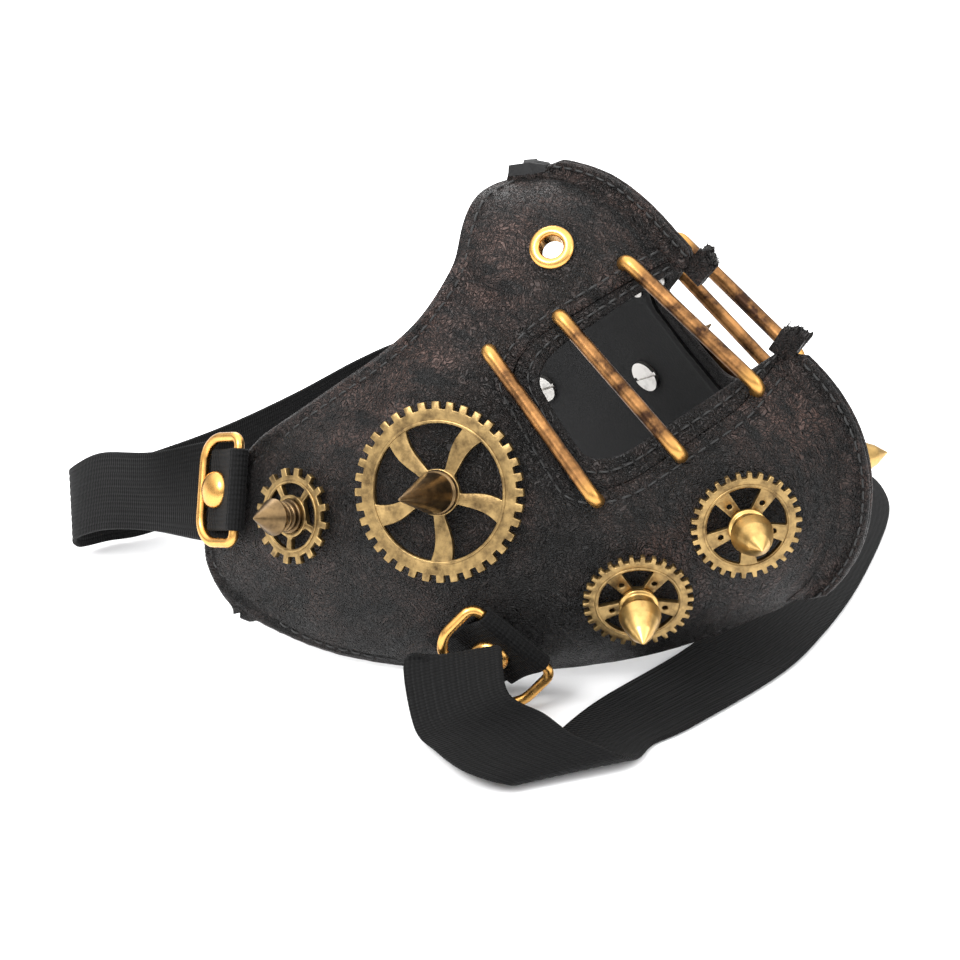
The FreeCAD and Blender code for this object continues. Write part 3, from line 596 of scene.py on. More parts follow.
def elastic_material(name):
    """Black knitted elastic: fine cross stitches inside each lengthwise rib, with painted shade darkening
    the colour in the weave's hollows.
    """
    material, tree, shader = new_material(name)
    weave = node(tree, "ShaderNodeUVMap", uv_map="weave")
    split = node(tree, "ShaderNodeSeparateXYZ")
    tree.links.new(weave.outputs["UV"], split.inputs["Vector"])
    waves = []
    for axis, period in (("X", 0.62), ("Y", 1.05)):
        scaled = node(tree, "ShaderNodeMath", operation="MULTIPLY")
        scaled.inputs[1].default_value = 2 * math.pi * 1000.0 / period
        tree.links.new(split.outputs[axis], scaled.inputs[0])
        wave = node(tree, "ShaderNodeMath", operation="SINE")
        tree.links.new(scaled.outputs[0], wave.inputs[0])
        waves.append(wave.outputs[0])
    both = node(tree, "ShaderNodeMath", operation="ADD")
    tree.links.new(waves[0], both.inputs[0])
    tree.links.new(waves[1], both.inputs[1])
    cloud = noise_of(tree, object_space(tree), 900.0, 3.0)
    height = ramp(tree, both.outputs[0], [(0.0, 0.0), (1.0, 1.0)])
    tone = ramp(tree, cloud, [(0.3, (0.0012, 0.0012, 0.0013)), (0.8, (0.0035, 0.0035, 0.0037))])
    # painted shade: the base colour follows the weave's height, near black in its hollows and lighter on the
    # stitch tops
    ribs = mix(tree, height, (0.0005, 0.0005, 0.0005), (0.0055, 0.0055, 0.0058))
    tree.links.new(mix(tree, 0.5, tone, ribs), shader.inputs["Base Color"])
    shader.inputs["Roughness"].default_value = 0.78
    shader.inputs["Specular IOR Level"].default_value = 0.15
    shader.inputs["Sheen Weight"].default_value = 0.02
    normal = bump_of(tree, both.outputs[0], 0.5, 0.00016)
    tree.links.new(bump_of(tree, cloud, 0.2, 0.0002, normal), shader.inputs["Normal"])
    return material


def cloth_material(name, colour, roughness=0.85):
    material, tree, shader = new_material(name)
    cloud = noise_of(tree, object_space(tree), 1500.0, 3.0)
    darker = tuple(0.6 * c for c in colour)
    tree.links.new(ramp(tree, cloud, [(0.3, darker), (0.75, colour)]), shader.inputs["Base Color"])
    shader.inputs["Roughness"].default_value = roughness
    tree.links.new(bump_of(tree, cloud, 0.35, 0.0003), shader.inputs["Normal"])
    return material


LEATHER = leather_material("cracked leather")
TRIM = leather_material("mouth facing leather", 0.25)
LINING = cloth_material("black lining", (0.008, 0.008, 0.0085))
THREAD = cloth_material("waxed thread", (0.009, 0.009, 0.009), 0.6)
ELASTIC = elastic_material("ribbed elastic")
FRAY = cloth_material("frayed lining threads", (0.055, 0.052, 0.05))
BAR_BRONZE = metal_material("stained copper bronze", (0.36, 0.175, 0.062), (0.035, 0.018, 0.011), 0.30,
                            (0.36, 0.62), 160.0, 0.15)
ANTIQUE = metal_material("antique brass", (0.37, 0.250, 0.105), (0.085, 0.054, 0.026), 0.34,
                         (0.38, 0.72), 420.0, 0.25)
DARK_BRONZE = metal_material("dark bronze", (0.20, 0.13, 0.062), (0.045, 0.030, 0.018), 0.27,
                             (0.36, 0.72), 300.0)
GOLD = metal_material("gold brass", (0.68, 0.37, 0.105), (0.40, 0.20, 0.06), 0.22, (0.50, 0.90), 120.0)
CHIN_BRASS = metal_material("bright chin brass", (0.56, 0.36, 0.125), (0.22, 0.135, 0.05), 0.27,
                            (0.46, 0.82), 260.0)
NICKEL = metal_material("nickel", (0.62, 0.60, 0.57), (0.28, 0.27, 0.26), 0.28, (0.5, 0.85), 300.0)


def on_body(item, body, slot, *nodes):
    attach(item, body)
    if nodes:
        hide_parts(*nodes)
    return item


# ---------------------------------------------------------------- leather panels
# About how many millimetres long the panel is in each surface parameter.
PLANE_SCALE = np.array([132.0, 96.0])
PANEL_GRID = 1.15


def front_to_surface(spots):
    """Surface parameters of front-view (right, up) points near the mouth."""
    grid_b, grid_u = np.meshgrid(np.linspace(0, 0.75, 60), np.linspace(0.2, 1, 80))
    grid = np.array([grid_b.ravel(), grid_u.ravel()]).T
    seen = spline(grid[:, 0], grid[:, 1], FACE_POLES)
    result = []
    for right, up in spots:
        start = np.argmin(np.hypot(seen[:, 1] - right, seen[:, 2] - up) + 50 * (seen[:, 0] < 12))
        back, high = grid[start]
        for _ in range(8):
            step = 1e-4
            here = spline(back, high, FACE_POLES)[0][1:]
            low_b, low_u = max(back - step, 0), max(high - step, 0)
            slope_b = (spline(back + step, high, FACE_POLES)[0][1:] - spline(low_b, high, FACE_POLES)[0][1:])
            slope_u = (spline(back, high + step, FACE_POLES)[0][1:] - spline(back, low_u, FACE_POLES)[0][1:])
            matrix = np.array([slope_b / (back + step - low_b), slope_u / (high + step - low_u)]).T
            change = np.linalg.solve(matrix, np.array([right, up]) - here)
            back = float(np.clip(back + change[0], 0, 0.9))
            high = float(np.clip(high + change[1], 0.05, 0.999))
        result.append((back, high))
    return np.array(result)


def mouth_curve(corners, spacing=0.8):
    """The outline's open run on the right panel, from the seam above to the seam below."""
    loop = rounded_loop(corners, spacing * 0.5)
    start = int(np.argmax(loop[:, 1] - 1000 * (loop[:, 0] > 0.2) - np.abs(loop[:, 0]) * 5))
    loop = np.roll(loop, -start, axis=0)
    if loop[3][0] < loop[0][0]:
        loop = np.roll(loop[::-1], 1, axis=0)
    run = [point for point in loop if point[0] > 0.02]
    top = (0.0, np.interp(0.0, *zip(*sorted([tuple(p) for p in loop if p[1] > 0 and abs(p[0]) < 3]))))
    below = (0.0, np.interp(0.0, *zip(*sorted([tuple(p) for p in loop if p[1] < 0 and abs(p[0]) < 3]))))
    run = np.array([top] + run + [below])
    return front_to_surface(resample(run, spacing))


def circle_on_surface(name, radius, count=36):
    back, up, _ = SEATS[name]
    _, x, y, _ = seat_axes(back, up, 0, "right")
    angles = np.linspace(0, 2 * math.pi, count, endpoint=False)
    return np.array([moved(back, up, radius * (math.cos(a) * x + math.sin(a) * y))[0] for a in angles])


OUTER_CURVE = mouth_curve(MOUTH_OUTER)
INNER_CURVE = mouth_curve(MOUTH_INNER)
TOP_Q, LOW_Q = OUTER_CURVE[0][1], OUTER_CURVE[-1][1]


def edge_run(start, end, spacing=0.9):
    """Evenly spaced surface parameters along a straight parameter line."""
    t = np.linspace(0, 1, 200)
    line = np.array(start) + t[:, None] * (np.array(end) - np.array(start))
    lengths = running_length(spline(line[:, 0], line[:, 1]))
    count = max(2, int(lengths[-1] / spacing))
    wanted = np.linspace(0, lengths[-1], count + 1)
    shares = np.interp(wanted, lengths, t)
    return np.array(start) + shares[:, None] * (np.array(end) - np.array(start))


BOTTOM_EDGE = edge_run((0, 0), (1, 0))
EAR_EDGE = edge_run((1, 0), (1, 1))
TOP_EDGE = edge_run((1, 1), (0, 1))
PANEL_LOOP = np.concatenate([BOTTOM_EDGE[:-1], EAR_EDGE[:-1], TOP_EDGE[:-1],
                             edge_run((0, 1), (0, TOP_Q))[:-1], OUTER_CURVE[:-1],
                             edge_run((0, LOW_Q), (0, 0))[:-1]])

# Where the finish is rubbed through: (towards the ear, towards the top, reach in mm, strength).
WORN_SPOTS = [
    (0.42, 0.97, 16, 0.55), (0.30, 0.95, 10, 0.4), (0.05, 0.93, 13, 0.5), (0.12, 0.80, 10, 0.45),
    (0.80, 0.86, 15, 0.6), (0.70, 0.93, 12, 0.5), (0.60, 0.97, 10, 0.35), (0.03, 0.36, 11, 0.7),
    (0.09, 0.42, 9, 0.6), (0.05, 0.10, 12, 0.45), (0.36, 0.25, 9, 0.3), (0.90, 0.40, 12, 0.35),
    (0.75, 0.25, 14, 0.35), (0.58, 0.45, 9, 0.25), (0.97, 0.60, 9, 0.35), (0.20, 0.10, 12, 0.35),
]
# Soft dents pressed into the leather: (towards the ear, towards the top, long, wide, depth, turn).
DENTS = [
    (0.43, 0.93, 16, 4.0, 1.5, 80), (0.50, 0.90, 9, 5, 0.5, 60),
    (0.76, 0.88, 13, 4, 0.8, 20), (0.10, 0.97, 7, 5, 0.5, 30), (0.55, 0.28, 12, 5, 0.5, 40),
    (0.30, 0.05, 10, 6, 0.6, 10), (0.90, 0.30, 9, 5, 0.5, 70),
]


def leather_dents(back, up):
    """Depth pressed into the leather at each surface place, in mm."""
    world = spline(back, up)
    depth = np.zeros(len(world))
    for b, u, long_reach, wide_reach, deep, turn in DENTS:
        centre, x, y, _ = seat_axes(b, u, turn, "right")
        offset = world - centre
        along, across = offset @ y, offset @ x
        depth += deep * np.exp(-(along / long_reach) ** 2 - (across / wide_reach) ** 2)
    ripple = np.array([noise.noise(Vector(point) * 0.07) + 0.5 * noise.noise(Vector(point) * 0.17)
                       for point in world])
    calm = np.ones(len(world))
    for name, (b, u, _) in SEATS.items():
        gap = np.linalg.norm(world - spline(b, u)[0], axis=1)
        calm *= 1 - np.exp(-(gap / (20 if name == "cheek_gear" else 12)) ** 4)
    seam = np.clip(np.atleast_1d(back) * PLANE_SCALE[0] / 5, 0, 1)
    return (depth + 0.28 * ripple) * calm * seam


def build_panel():
    """Panel in surface parameters: outline, mouth cut and eyelet hole filled with even triangles."""
    hole = circle_on_surface("eyelet", EYELET_CUT)
    loop, hole_loop = PANEL_LOOP * PLANE_SCALE, hole * PLANE_SCALE
    xs, ys = np.meshgrid(np.arange(0.7, PLANE_SCALE[0], PANEL_GRID),
                         np.arange(0.6, PLANE_SCALE[1], PANEL_GRID))
    xs[::2] += 0.55
    extra = np.array([xs.ravel(), ys.ravel()]).T
    extra = extra[inside(extra, loop) & ~inside(extra, hole_loop)]
    extra = extra[~near_loop(extra, [loop, hole_loop], 0.6)]
    spots, faces = filled(loop, [hole_loop], extra)
    back, up = spots[:, 0] / PLANE_SCALE[0], spots[:, 1] / PLANE_SCALE[1]
    world, out = spline(back, up), normals(back, up)
    edges = [BOTTOM_EDGE, EAR_EDGE, TOP_EDGE, OUTER_CURVE]
    border = np.concatenate([spline(edge[:, 0], edge[:, 1]) for edge in edges])
    tree = kdtree.KDTree(len(border))
    for i, point in enumerate(border):
        tree.insert(point, i)
    tree.balance()
    gap = np.array([tree.find(point)[2] for point in world])
    sink = leather_dents(back, up)
    sink += 0.40 * np.exp(-((gap - 2.6) / 0.75) ** 2) - 0.22 * np.exp(-((gap - 1.2) / 0.8) ** 2)
    sink += 0.35 * np.clip(1 - gap / 0.9, 0, 1) ** 2
    wear = 0.22 * np.exp(-(gap / 1.6) ** 2)
    for b, u, reach, strength in WORN_SPOTS:
        wear += strength * np.exp(-(np.linalg.norm(world - spline(b, u)[0], axis=1) / reach) ** 2)
    top = world - out * sink[:, None]
    return top, faces, out, np.clip(wear, 0, 1)


def with_wear(item, values):
    """Stores how far the finish is rubbed through at each vertex, for the materials."""
    attribute = item.data.attributes.new("wear", "FLOAT_COLOR", "POINT")
    colours = np.repeat(values[:, None], 4, axis=1)
    colours[:, 3] = 1
    attribute.data.foreach_set("color", colours.astype(np.float32).ravel())


def panel_objects():
    """The two leather panels, each with its lining following the same dents behind it."""
    top, faces, out, wear = build_panel()
    leather, leather_faces = thickened(top, faces, out, 0.0, LEATHER_THICK)
    lining, lining_faces = thickened(top, faces, out, -LINING_TOP, LINING_TOP + LINING_THICK)
    for sheet in (leather, lining):
        sheet[:, 0] = np.minimum(sheet[:, 0], SHIFT_X - SEAM_GAP / 2)
    for side in SIDES:
        item = make_mesh(side + " leather panel", on_side(leather, side),
                         leather_faces, LEATHER, sharp=55)
        with_wear(item, np.concatenate([wear, wear]))
        on_body(item, "mask", "leather", side + "_panel")
        item = make_mesh(side + " lining panel", on_side(lining, side),
                         lining_faces, LINING, sharp=55)
        on_body(item, "mask", "lining", side + "_lining")


# ---------------------------------------------------------------- raised seam
def seam_frame(up):
    """Seam point and outward direction on the centre plane."""
    point = spline(0.0, up)[0]
    toward_top = slopes(0.0, up)[1][0]
    out = unit(np.array([0, -toward_top[2], toward_top[1]]))
    if out[1] > 0 and up < 0.9 or up >= 0.9 and out[2] < 0:
        out = -out
    return np.array([SHIFT_X, point[1], point[2]]), out


def seam_objects():
    """The two folded-out edges sewn face to face, with their stitches."""
    for side, sign in SIDE_SIGNS:
        pile, stitches = Pile(), Pile()
        for low, high in (CHIN_SEAM, NOSE_SEAM):
            count = int((high - low) * 150)
            stops = np.linspace(low, high, count)
            rows = []
            for k, up in enumerate(stops):
                point, out = seam_frame(up)
                end = min(k, count - 1 - k)
                tall = 3.0 * min(1.0, 0.35 + 0.22 * end) + 0.10 * noise.noise(Vector((up * 60, 3.1, 0)))
                across = np.array([sign, 0, 0])
                foot = spline(0.030, up)[0]
                foot_out = normals(0.030, up)[0]
                if side == "left":
                    foot, foot_out = mirror_x([foot])[0], foot_out * (-1, 1, 1)
                profile = [(0.06, -0.7), (0.06, tall - 0.25), (0.22, tall), (0.75, tall + 0.04),
                           (1.12, tall - 0.22), (1.22, tall - 0.8), (1.20, 1.3), (1.32, 0.75), (1.75, 0.30)]
                row = [point + across * x + out * z for x, z in profile]
                row += [foot + foot_out * 0.05, foot - foot_out * 0.8]
                rows.append(row)
            faces = capped_faces(count, len(rows[0]))
            pile.add(np.concatenate(rows), faces)
            path = []
            for up in np.linspace(low + 0.01, high - 0.01, 160):
                point, out = seam_frame(up)
                path.append(point + np.array([sign * 1.24, 0, 0]) + out * 1.9)
            lay_stitches(stitches, np.array(path), np.tile([sign, 0.0, 0.0], (160, 1)), 2.6, 0.9, 0.26)
        item = pile.build(side + " seam flange", LEATHER, sharp=60)
        wear = np.array([0.45 + 0.35 * noise.noise(Vector(point) * 0.12) for point in pile.points])
        wear = wear[:len(item.data.vertices)]
        with_wear(item, np.clip(wear, 0, 1))
        on_body(item, "mask", "leather")
        on_body(stitches.build(side + " seam stitches", THREAD), "mask", "leather")


def lay_stitches(pile, path, out, pitch, gap, radius):
    """Short thread stitches along a path, diving into the surface at both ends."""
    lengths = running_length(path)
    position = 0.4
    while position + pitch - gap < lengths[-1]:
        along = np.linspace(position, position + pitch - gap, 6)
        rise = np.array([-0.22, 0.10, 0.17, 0.17, 0.10, -0.22])
        centre, lift = at_lengths(along, lengths, path), at_lengths(along, lengths, out)
        points, faces = tube_shape(centre + lift * rise[:, None], radius, around=7)
        pile.add(points, faces)
        position += pitch


def inset_path(curve, distance, side_sign):
    """World path and normals at a distance inside a border curve of the right panel."""
    world = spline(curve[:, 0], curve[:, 1])
    out = normals(curve[:, 0], curve[:, 1])
    ahead = np.gradient(world, axis=0)
    inward = np.cross(out, ahead) * side_sign
    inward /= np.linalg.norm(inward, axis=1)[:, None]
    spots = np.clip(moved(curve[:, 0], curve[:, 1], inward * distance), 0.001, 0.999)
    sink = leather_dents(spots[:, 0], spots[:, 1]) + 0.40
    lift = normals(spots[:, 0], spots[:, 1])
    return spline(spots[:, 0], spots[:, 1]) - lift * sink[:, None], lift


def stitch_objects():
    """Stitches along every edge of the leather panels but the seam."""
    pile = Pile()
    for curve, start, end in ((BOTTOM_EDGE, 4, -3), (EAR_EDGE, 3, -3), (TOP_EDGE, 3, -4),
                              (OUTER_CURVE, 3, -3)):
        curve = curve[start:end]
        world = spline(curve[:, 0], curve[:, 1])
        out = normals(curve[:, 0], curve[:, 1])
        ahead = np.gradient(world, axis=0)
        # inward is the side on which the panel lies: away from the mouth, into the sheet elsewhere
        test = np.cross(out, ahead)
        centre = len(curve) // 2
        probe = moved(*curve[centre], unit(test[centre]) * 3)[0]
        good = inside(np.array([probe * PLANE_SCALE]), PANEL_LOOP * PLANE_SCALE)[0]
        path, lift = inset_path(curve, 2.6, 1 if good else -1)
        lay_stitches(pile, path, lift, 2.9, 0.8, 0.27)
    for side in SIDES:
        item = make_mesh(side + " edge stitches", on_side(pile.points, side), pile.faces, THREAD)
        on_body(item, "mask", "leather")


# ---------------------------------------------------------------- mouth facing
def trim_objects():
    """Folded strip of leather round the mouth, with its stitches."""
    count = 150
    outer = resample_parameters(OUTER_CURVE, count)
    inner = resample_parameters(INNER_CURVE, count)
    out_world, in_world = spline(outer[:, 0], outer[:, 1]), spline(inner[:, 0], inner[:, 1])
    out_normal, in_normal = normals(outer[:, 0], outer[:, 1]), normals(inner[:, 0], inner[:, 1])
    pile, stitches = Pile(), Pile()
    rows, line, lift = [], [], []
    for k in range(count):
        wobble = 0.18 * noise.noise(Vector((k * 0.21, 5.2, 1.0)))
        a, b = out_world[k], in_world[k] + (in_world[k] - out_world[k]) * 0.02 * wobble
        na, nb = out_normal[k], in_normal[k]
        row = []
        for t, depth in ((0.0, 1.55), (0.0, 0.75), (0.06, 0.52), (0.25, 0.42), (0.5, 0.52), (0.75, 0.40),
                         (0.92, 0.50), (1.0, 0.9), (1.0, 1.5), (0.92, 1.85), (0.5, 1.9), (0.1, 1.85)):
            normal = unit(na * (1 - t) + nb * t)
            row.append(a * (1 - t) + b * t - normal * (depth + wobble * 0.5 * math.sin(math.pi * t)))
        rows.append(row)
        normal = unit(na + nb)
        line.append(a * 0.45 + b * 0.55 - normal * 0.42)
        lift.append(normal)
    pile.add(np.concatenate(rows), capped_faces(count, len(rows[0])))
    lay_stitches(stitches, np.array(line), np.array(lift), 2.6, 0.8, 0.24)
    for side in SIDES:
        item = make_mesh(side + " mouth facing", on_side(pile.points, side), pile.faces, TRIM, sharp=60)
        with_wear(item, np.full(len(item.data.vertices), 0.15))
        on_body(item, "mask", "trim", side + "_mouth_trim")
        thread = on_side(stitches.points, side)
        on_body(make_mesh(side + " mouth stitches", thread, stitches.faces, THREAD), "mask", "trim")


def resample_parameters(curve, count):
    """A curve in surface parameters as points evenly spaced in the world."""
    lengths = running_length(spline(curve[:, 0], curve[:, 1]))
    return at_lengths(np.linspace(0, lengths[-1], count), lengths, curve)


def tongue_objects():
    """The seam's ends at the mouth: torn leather flaps with lining threads sticking out."""
    random_state = np.random.default_rng(7)
    for side, sign in SIDE_SIGNS:
        flaps, threads = Pile(), Pile()
        for start, end, out_tall in ((CHIN_SEAM[1] - 0.004, CHIN_SEAM[1] + 0.040, 6.2),
                                     (NOSE_SEAM[0] + 0.004, NOSE_SEAM[0] - 0.040, 5.8)):
            across = np.array([sign, 0, 0])
            columns, levels = 12, 7
            for thick_low, thick_high in ((0.12, 0.55), (0.62, 1.15)):
                tops = []
                for layer_x in (thick_low, thick_high):
                    for i in range(columns):
                        up = start + (end - start) * i / (columns - 1)
                        point, out = seam_frame(up)
                        jag = noise.noise(Vector((i * 0.9, layer_x * 3, out_tall))) * 1.5
                        tall = out_tall * (1 - 0.25 * (i / (columns - 1)) ** 2) + jag
                        for j in range(levels):
                            level = -1.0 + (tall + 1.0) * j / (levels - 1)
                            lean = 0.8 * max(level, 0) ** 2 / 36 + 0.18 * noise.noise(
                                Vector((i * 0.5, level * 0.4, layer_x)))
                            tops.append(point + across * (layer_x + lean) + out * level)
                behind = columns * levels
                faces = grid_faces(columns, levels)
                faces += [[a + behind for a in face[::-1]] for face in grid_faces(columns, levels)]
                ring = [i * levels for i in range(columns)]
                ring += [(columns - 1) * levels + j for j in range(1, levels)]
                ring += [i * levels + levels - 1 for i in range(columns - 2, -1, -1)]
                ring += list(range(levels - 2, 0, -1))
                faces += [[a, b, b + behind, a + behind] for a, b in zip(ring, ring[1:] + ring[:1])]
                flaps.add(tops, faces)
            for _ in range(26):
                up = start + (end - start) * random_state.uniform(0.05, 1.0)
                point, out = seam_frame(up)
                base = point + across * random_state.uniform(0.1, 1.0) + out * random_state.uniform(4.0, 5.6)
                drift = random_state.normal(0, 0.45, 3)
                tip = base + out * random_state.uniform(0.6, 1.9) + drift * (0.5, 1, 1)
                bend = (base + tip) / 2 + random_state.normal(0, 0.2, 3)
                points, faces = tube_shape([base, bend, tip], [0.09, 0.08, 0.04], around=5)
                threads.add(points, faces)
        item = flaps.build(side + " torn seam ends", TRIM, sharp=60)
        with_wear(item, np.full(len(item.data.vertices), 0.3))
        on_body(item, "mask", "trim")
        on_body(threads.build(side + " seam threads", FRAY), "mask", "trim")


# ---------------------------------------------------------------- bars
def cornered(points, radius, steps):
    """Path with its corners rounded."""
    points = [np.array(point, float) for point in points]
    path = [points[0]]
    for i in range(1, len(points) - 1):
        before, after = unit(points[i - 1] - points[i]), unit(points[i + 1] - points[i])
        half = math.acos(np.clip(np.dot(before, after), -1, 1)) / 2
        cut = radius / math.tan(half)
        centre = points[i] + unit(before + after) * radius / math.sin(half)
        first, last = points[i] + before * cut - centre, points[i] + after * cut - centre
        total = math.acos(np.clip(np.dot(unit(first), unit(last)), -1, 1))
        for k in range(steps + 1):
            t = k / steps
            share = (math.sin((1 - t) * total) * first + math.sin(t * total) * last) / math.sin(total)
            path.append(centre + share)
    path.append(points[-1])
    return np.array(path)


def bar_objects():
    """U-shaped mouth bars whose legs go through the leather, gilded where they bend."""
    for side in SIDES:
        for name, legs in BARS.items():
            (o0, _, _, n0), (o1, _, _, n1) = [seat_axes(back, up, 0, side) for back, up in legs]
            bend_at = np.array([o0 + n0 * BAR_RISE, o1 + n1 * BAR_RISE])
            path = cornered([o0 - n0 * BAR_DEEP, *bend_at, o1 - n1 * BAR_DEEP], BAR_BEND, BAR_BEND_STEPS)
            second_bend = BAR_BEND_STEPS + 2
            span = np.linspace(path[second_bend - 1], path[second_bend], 30)[1:-1]
            path = np.concatenate([path[:second_bend], span, path[second_bend:]])
            points, faces = tube_shape(path, BAR_ROD, around=24)
            item = make_mesh("%s %s mouth bar" % (side, name), points, faces, BAR_BRONZE)
            gap = np.min(np.linalg.norm(np.array(points)[:, None] - bend_at[None], axis=2), axis=1)
            gold = np.clip(1.2 - gap / 4.5, 0, 1)
            with_wear(item, gold[:len(item.data.vertices)])
            on_body(item, "mask", "bar_bronze", "%s_%s_mouth_bar" % (side, name))


def gild_bar_material():
    """Rubs the bars' stained bronze to gold at their bent ends."""
    tree = BAR_BRONZE.node_tree
    shader = tree.nodes["Principled BSDF"]
    source = shader.inputs["Base Color"].links[0].from_socket
    ends = node(tree, "ShaderNodeAttribute", attribute_name="wear")
    tree.links.new(mix(tree, ends.outputs["Color"], source, (0.60, 0.32, 0.09)), shader.inputs["Base Color"])


# ---------------------------------------------------------------- turned pieces
def spike_outline(kind):
    """Foot, body and point of a spike, from the axis below to the tip."""
    base = 2.0
    if kind == "cheek":
        shape = [(4.4, base), (4.6, base + 0.4), (4.4, base + 1.1), (3.9, base + 1.4),
                 (4.2, base + 2.4), (0.25, 21.0)]
    elif kind == "ear":
        shape = [(3.6, base), (3.6, base + 0.8)]
        for i in range(3):
            ring = base + 1.3 + i * 1.2
            shape += [(2.7, ring - 0.35), (3.2, ring), (3.2, ring + 0.45), (2.7, ring + 0.7)]
        shape += [(3.9, 6.7), (3.9, 7.1), (0.2, 12.6)]
    else:
        shape = [(3.6, base), (3.9, base + 0.3), (3.9, base + 1.0), (3.3, base + 1.3),
                 (3.1, base + 2.6), (3.2, base + 3.4), (4.1, base + 3.7), (4.2, base + 4.3),
                 (3.5, base + 6.8), (2.2, base + 9.8), (0.2, 14.6)]
    return softened([(0.01, 1.0), (1.9, 1.0), (1.9, base), *shape, (0.01, shape[-1][1] + 0.12)], 0.22)


def turned_objects():
    """Eyelets, spikes and dome rivets: everything made on a lathe."""
    for side in SIDES:
        place = Seat("eyelet", side)
        rim = [(2.36, -2.9), (2.36, 0.5), (2.6, 0.95), (3.0, 1.12), (3.5, 1.15), (4.1, 0.95), (4.5, 0.55),
               (4.6, 0.27), (3.0, 0.25), (2.93, -2.9), (2.36, -2.9)]
        points, faces = lathe_shape(softened(rim, 0.25), place, 64)
        item = make_mesh(side + " nose eyelet", points, faces, GOLD, sharp=40)
        on_body(item, "mask", "gold_brass", side + "_eyelet")
        for name in SPIKED:
            kind = name if name in ("cheek", "ear") else "chin"
            slot_name = "gold_brass" if kind == "chin" else "dark_bronze"
            points, faces = lathe_shape(spike_outline(kind), Seat(name + "_gear", side), 56)
            material = CHIN_BRASS if kind == "chin" else DARK_BRONZE
            title = "%s %s spike" % (side, name.replace("_", " "))
            item = make_mesh(title, points, faces, material, sharp=35)
            on_body(item, "mask", slot_name, "%s_%s_spike" % (side, name))
        for ring in ("ear", "jaw"):
            place = Seat(ring + "_ring", side)
            place.origin = place.origin + place.y * RIVET_PLACE
            dome = [(0.01, 2.0), (1.3, 2.0), (1.3, 3.1), (4.05, 3.1), (4.1, 3.4)]
            for k in range(1, 13):
                angle = math.radians(90 * k / 12)
                dome.append((max(4.05 * math.cos(angle), 0.01), 3.5 + 2.05 * math.sin(angle)))
            points, faces = lathe_shape(dome, place, 48)
            item = make_mesh("%s %s dome rivet" % (side, ring), points, faces, GOLD, sharp=50)
            on_body(item, "mask", "gold_brass", "%s_%s_dome_rivet" % (side, ring))


# ---------------------------------------------------------------- gears
def polar(radius, degrees):
    return (radius * math.cos(math.radians(degrees)), radius * math.sin(math.radians(degrees)))


def tooth_outline(radius, teeth, depth, tip, root):
    pitch = 360.0 / teeth
    points = []
    for i in range(teeth):
        middle = i * pitch
        points += [polar(radius - depth, middle - pitch * root / 2), polar(radius, middle - pitch * tip / 2),
                   polar(radius, middle + pitch * tip / 2), polar(radius - depth, middle + pitch * root / 2)]
    return points


def window_outline(start, end, inner, outer, spoke, flare, bend, steps=8):
    points = []
    for i in range(steps + 1):
        share = i / steps
        radius = inner + (outer - inner) * share
        half = math.degrees(spoke / 2 * (1 + flare * share) / radius)
        points.append(polar(radius, start + half + bend * math.sin(math.pi * share)))
    first = start + math.degrees(spoke / 2 * (1 + flare) / outer)
    last = end - math.degrees(spoke / 2 * (1 + flare) / outer)
    for i in range(1, steps * 2):
        points.append(polar(outer, first + (last - first) * i / (steps * 2)))
    for i in range(steps, -1, -1):
        share = i / steps
        radius = inner + (outer - inner) * share
        half = math.degrees(spoke / 2 * (1 + flare * share) / radius)
        points.append(polar(radius, end - half + bend * math.sin(math.pi * share)))
    return points


def circle(radius, count=32, centre=(0, 0)):
    return [(centre[0] + radius * math.cos(2 * math.pi * i / count),
             centre[1] + radius * math.sin(2 * math.pi * i / count)) for i in range(count)]


# Radius, teeth, tooth depth, tooth width at tip and root as shares of the pitch, windows' inner and
# outer radius as shares of the radius, spoke width, its flare outwards, its bend, hole in the spoke.
GEAR_KINDS = {
    "cheek_gear": (18.2, 36, 1.5, 0.5, 0.56, 0.27, 0.76, 2.3, 1.0, 4, 0),
    "ear_gear": (10.2, 16, 1.6, 0.36, 0.40, 0.47, 0.68, 1.1, 0.3, 0, 0),
    "chin_gear": (11.0, 30, 1.2, 0.36, 0.50, 0.30, 0.72, 2.3, 0.5, 0, 0.55),
}
# Raised rings on each gear: (inner, outer) shares of its radius.
GEAR_RIMS = {
    "cheek_gear": ((0.765, 0.80), (0.215, 0.262)),
    "ear_gear": ((0.36, 0.44), (0.69, 0.75)),
    "chin_gear": ((0.74, 0.79),),
}


def plate(pile, outer, holes, low, high):
    """Flat plate with holes between two heights."""
    spots, faces = filled(np.array(outer), [np.array(hole) for hole in holes], [])
    flat = np.concatenate([spots, np.zeros((len(spots), 1))], axis=1)
    up = np.tile([0.0, 0.0, 1.0], (len(spots), 1))
    points, shell = thickened(flat, faces, up, high, -low)
    pile.add(points, shell)


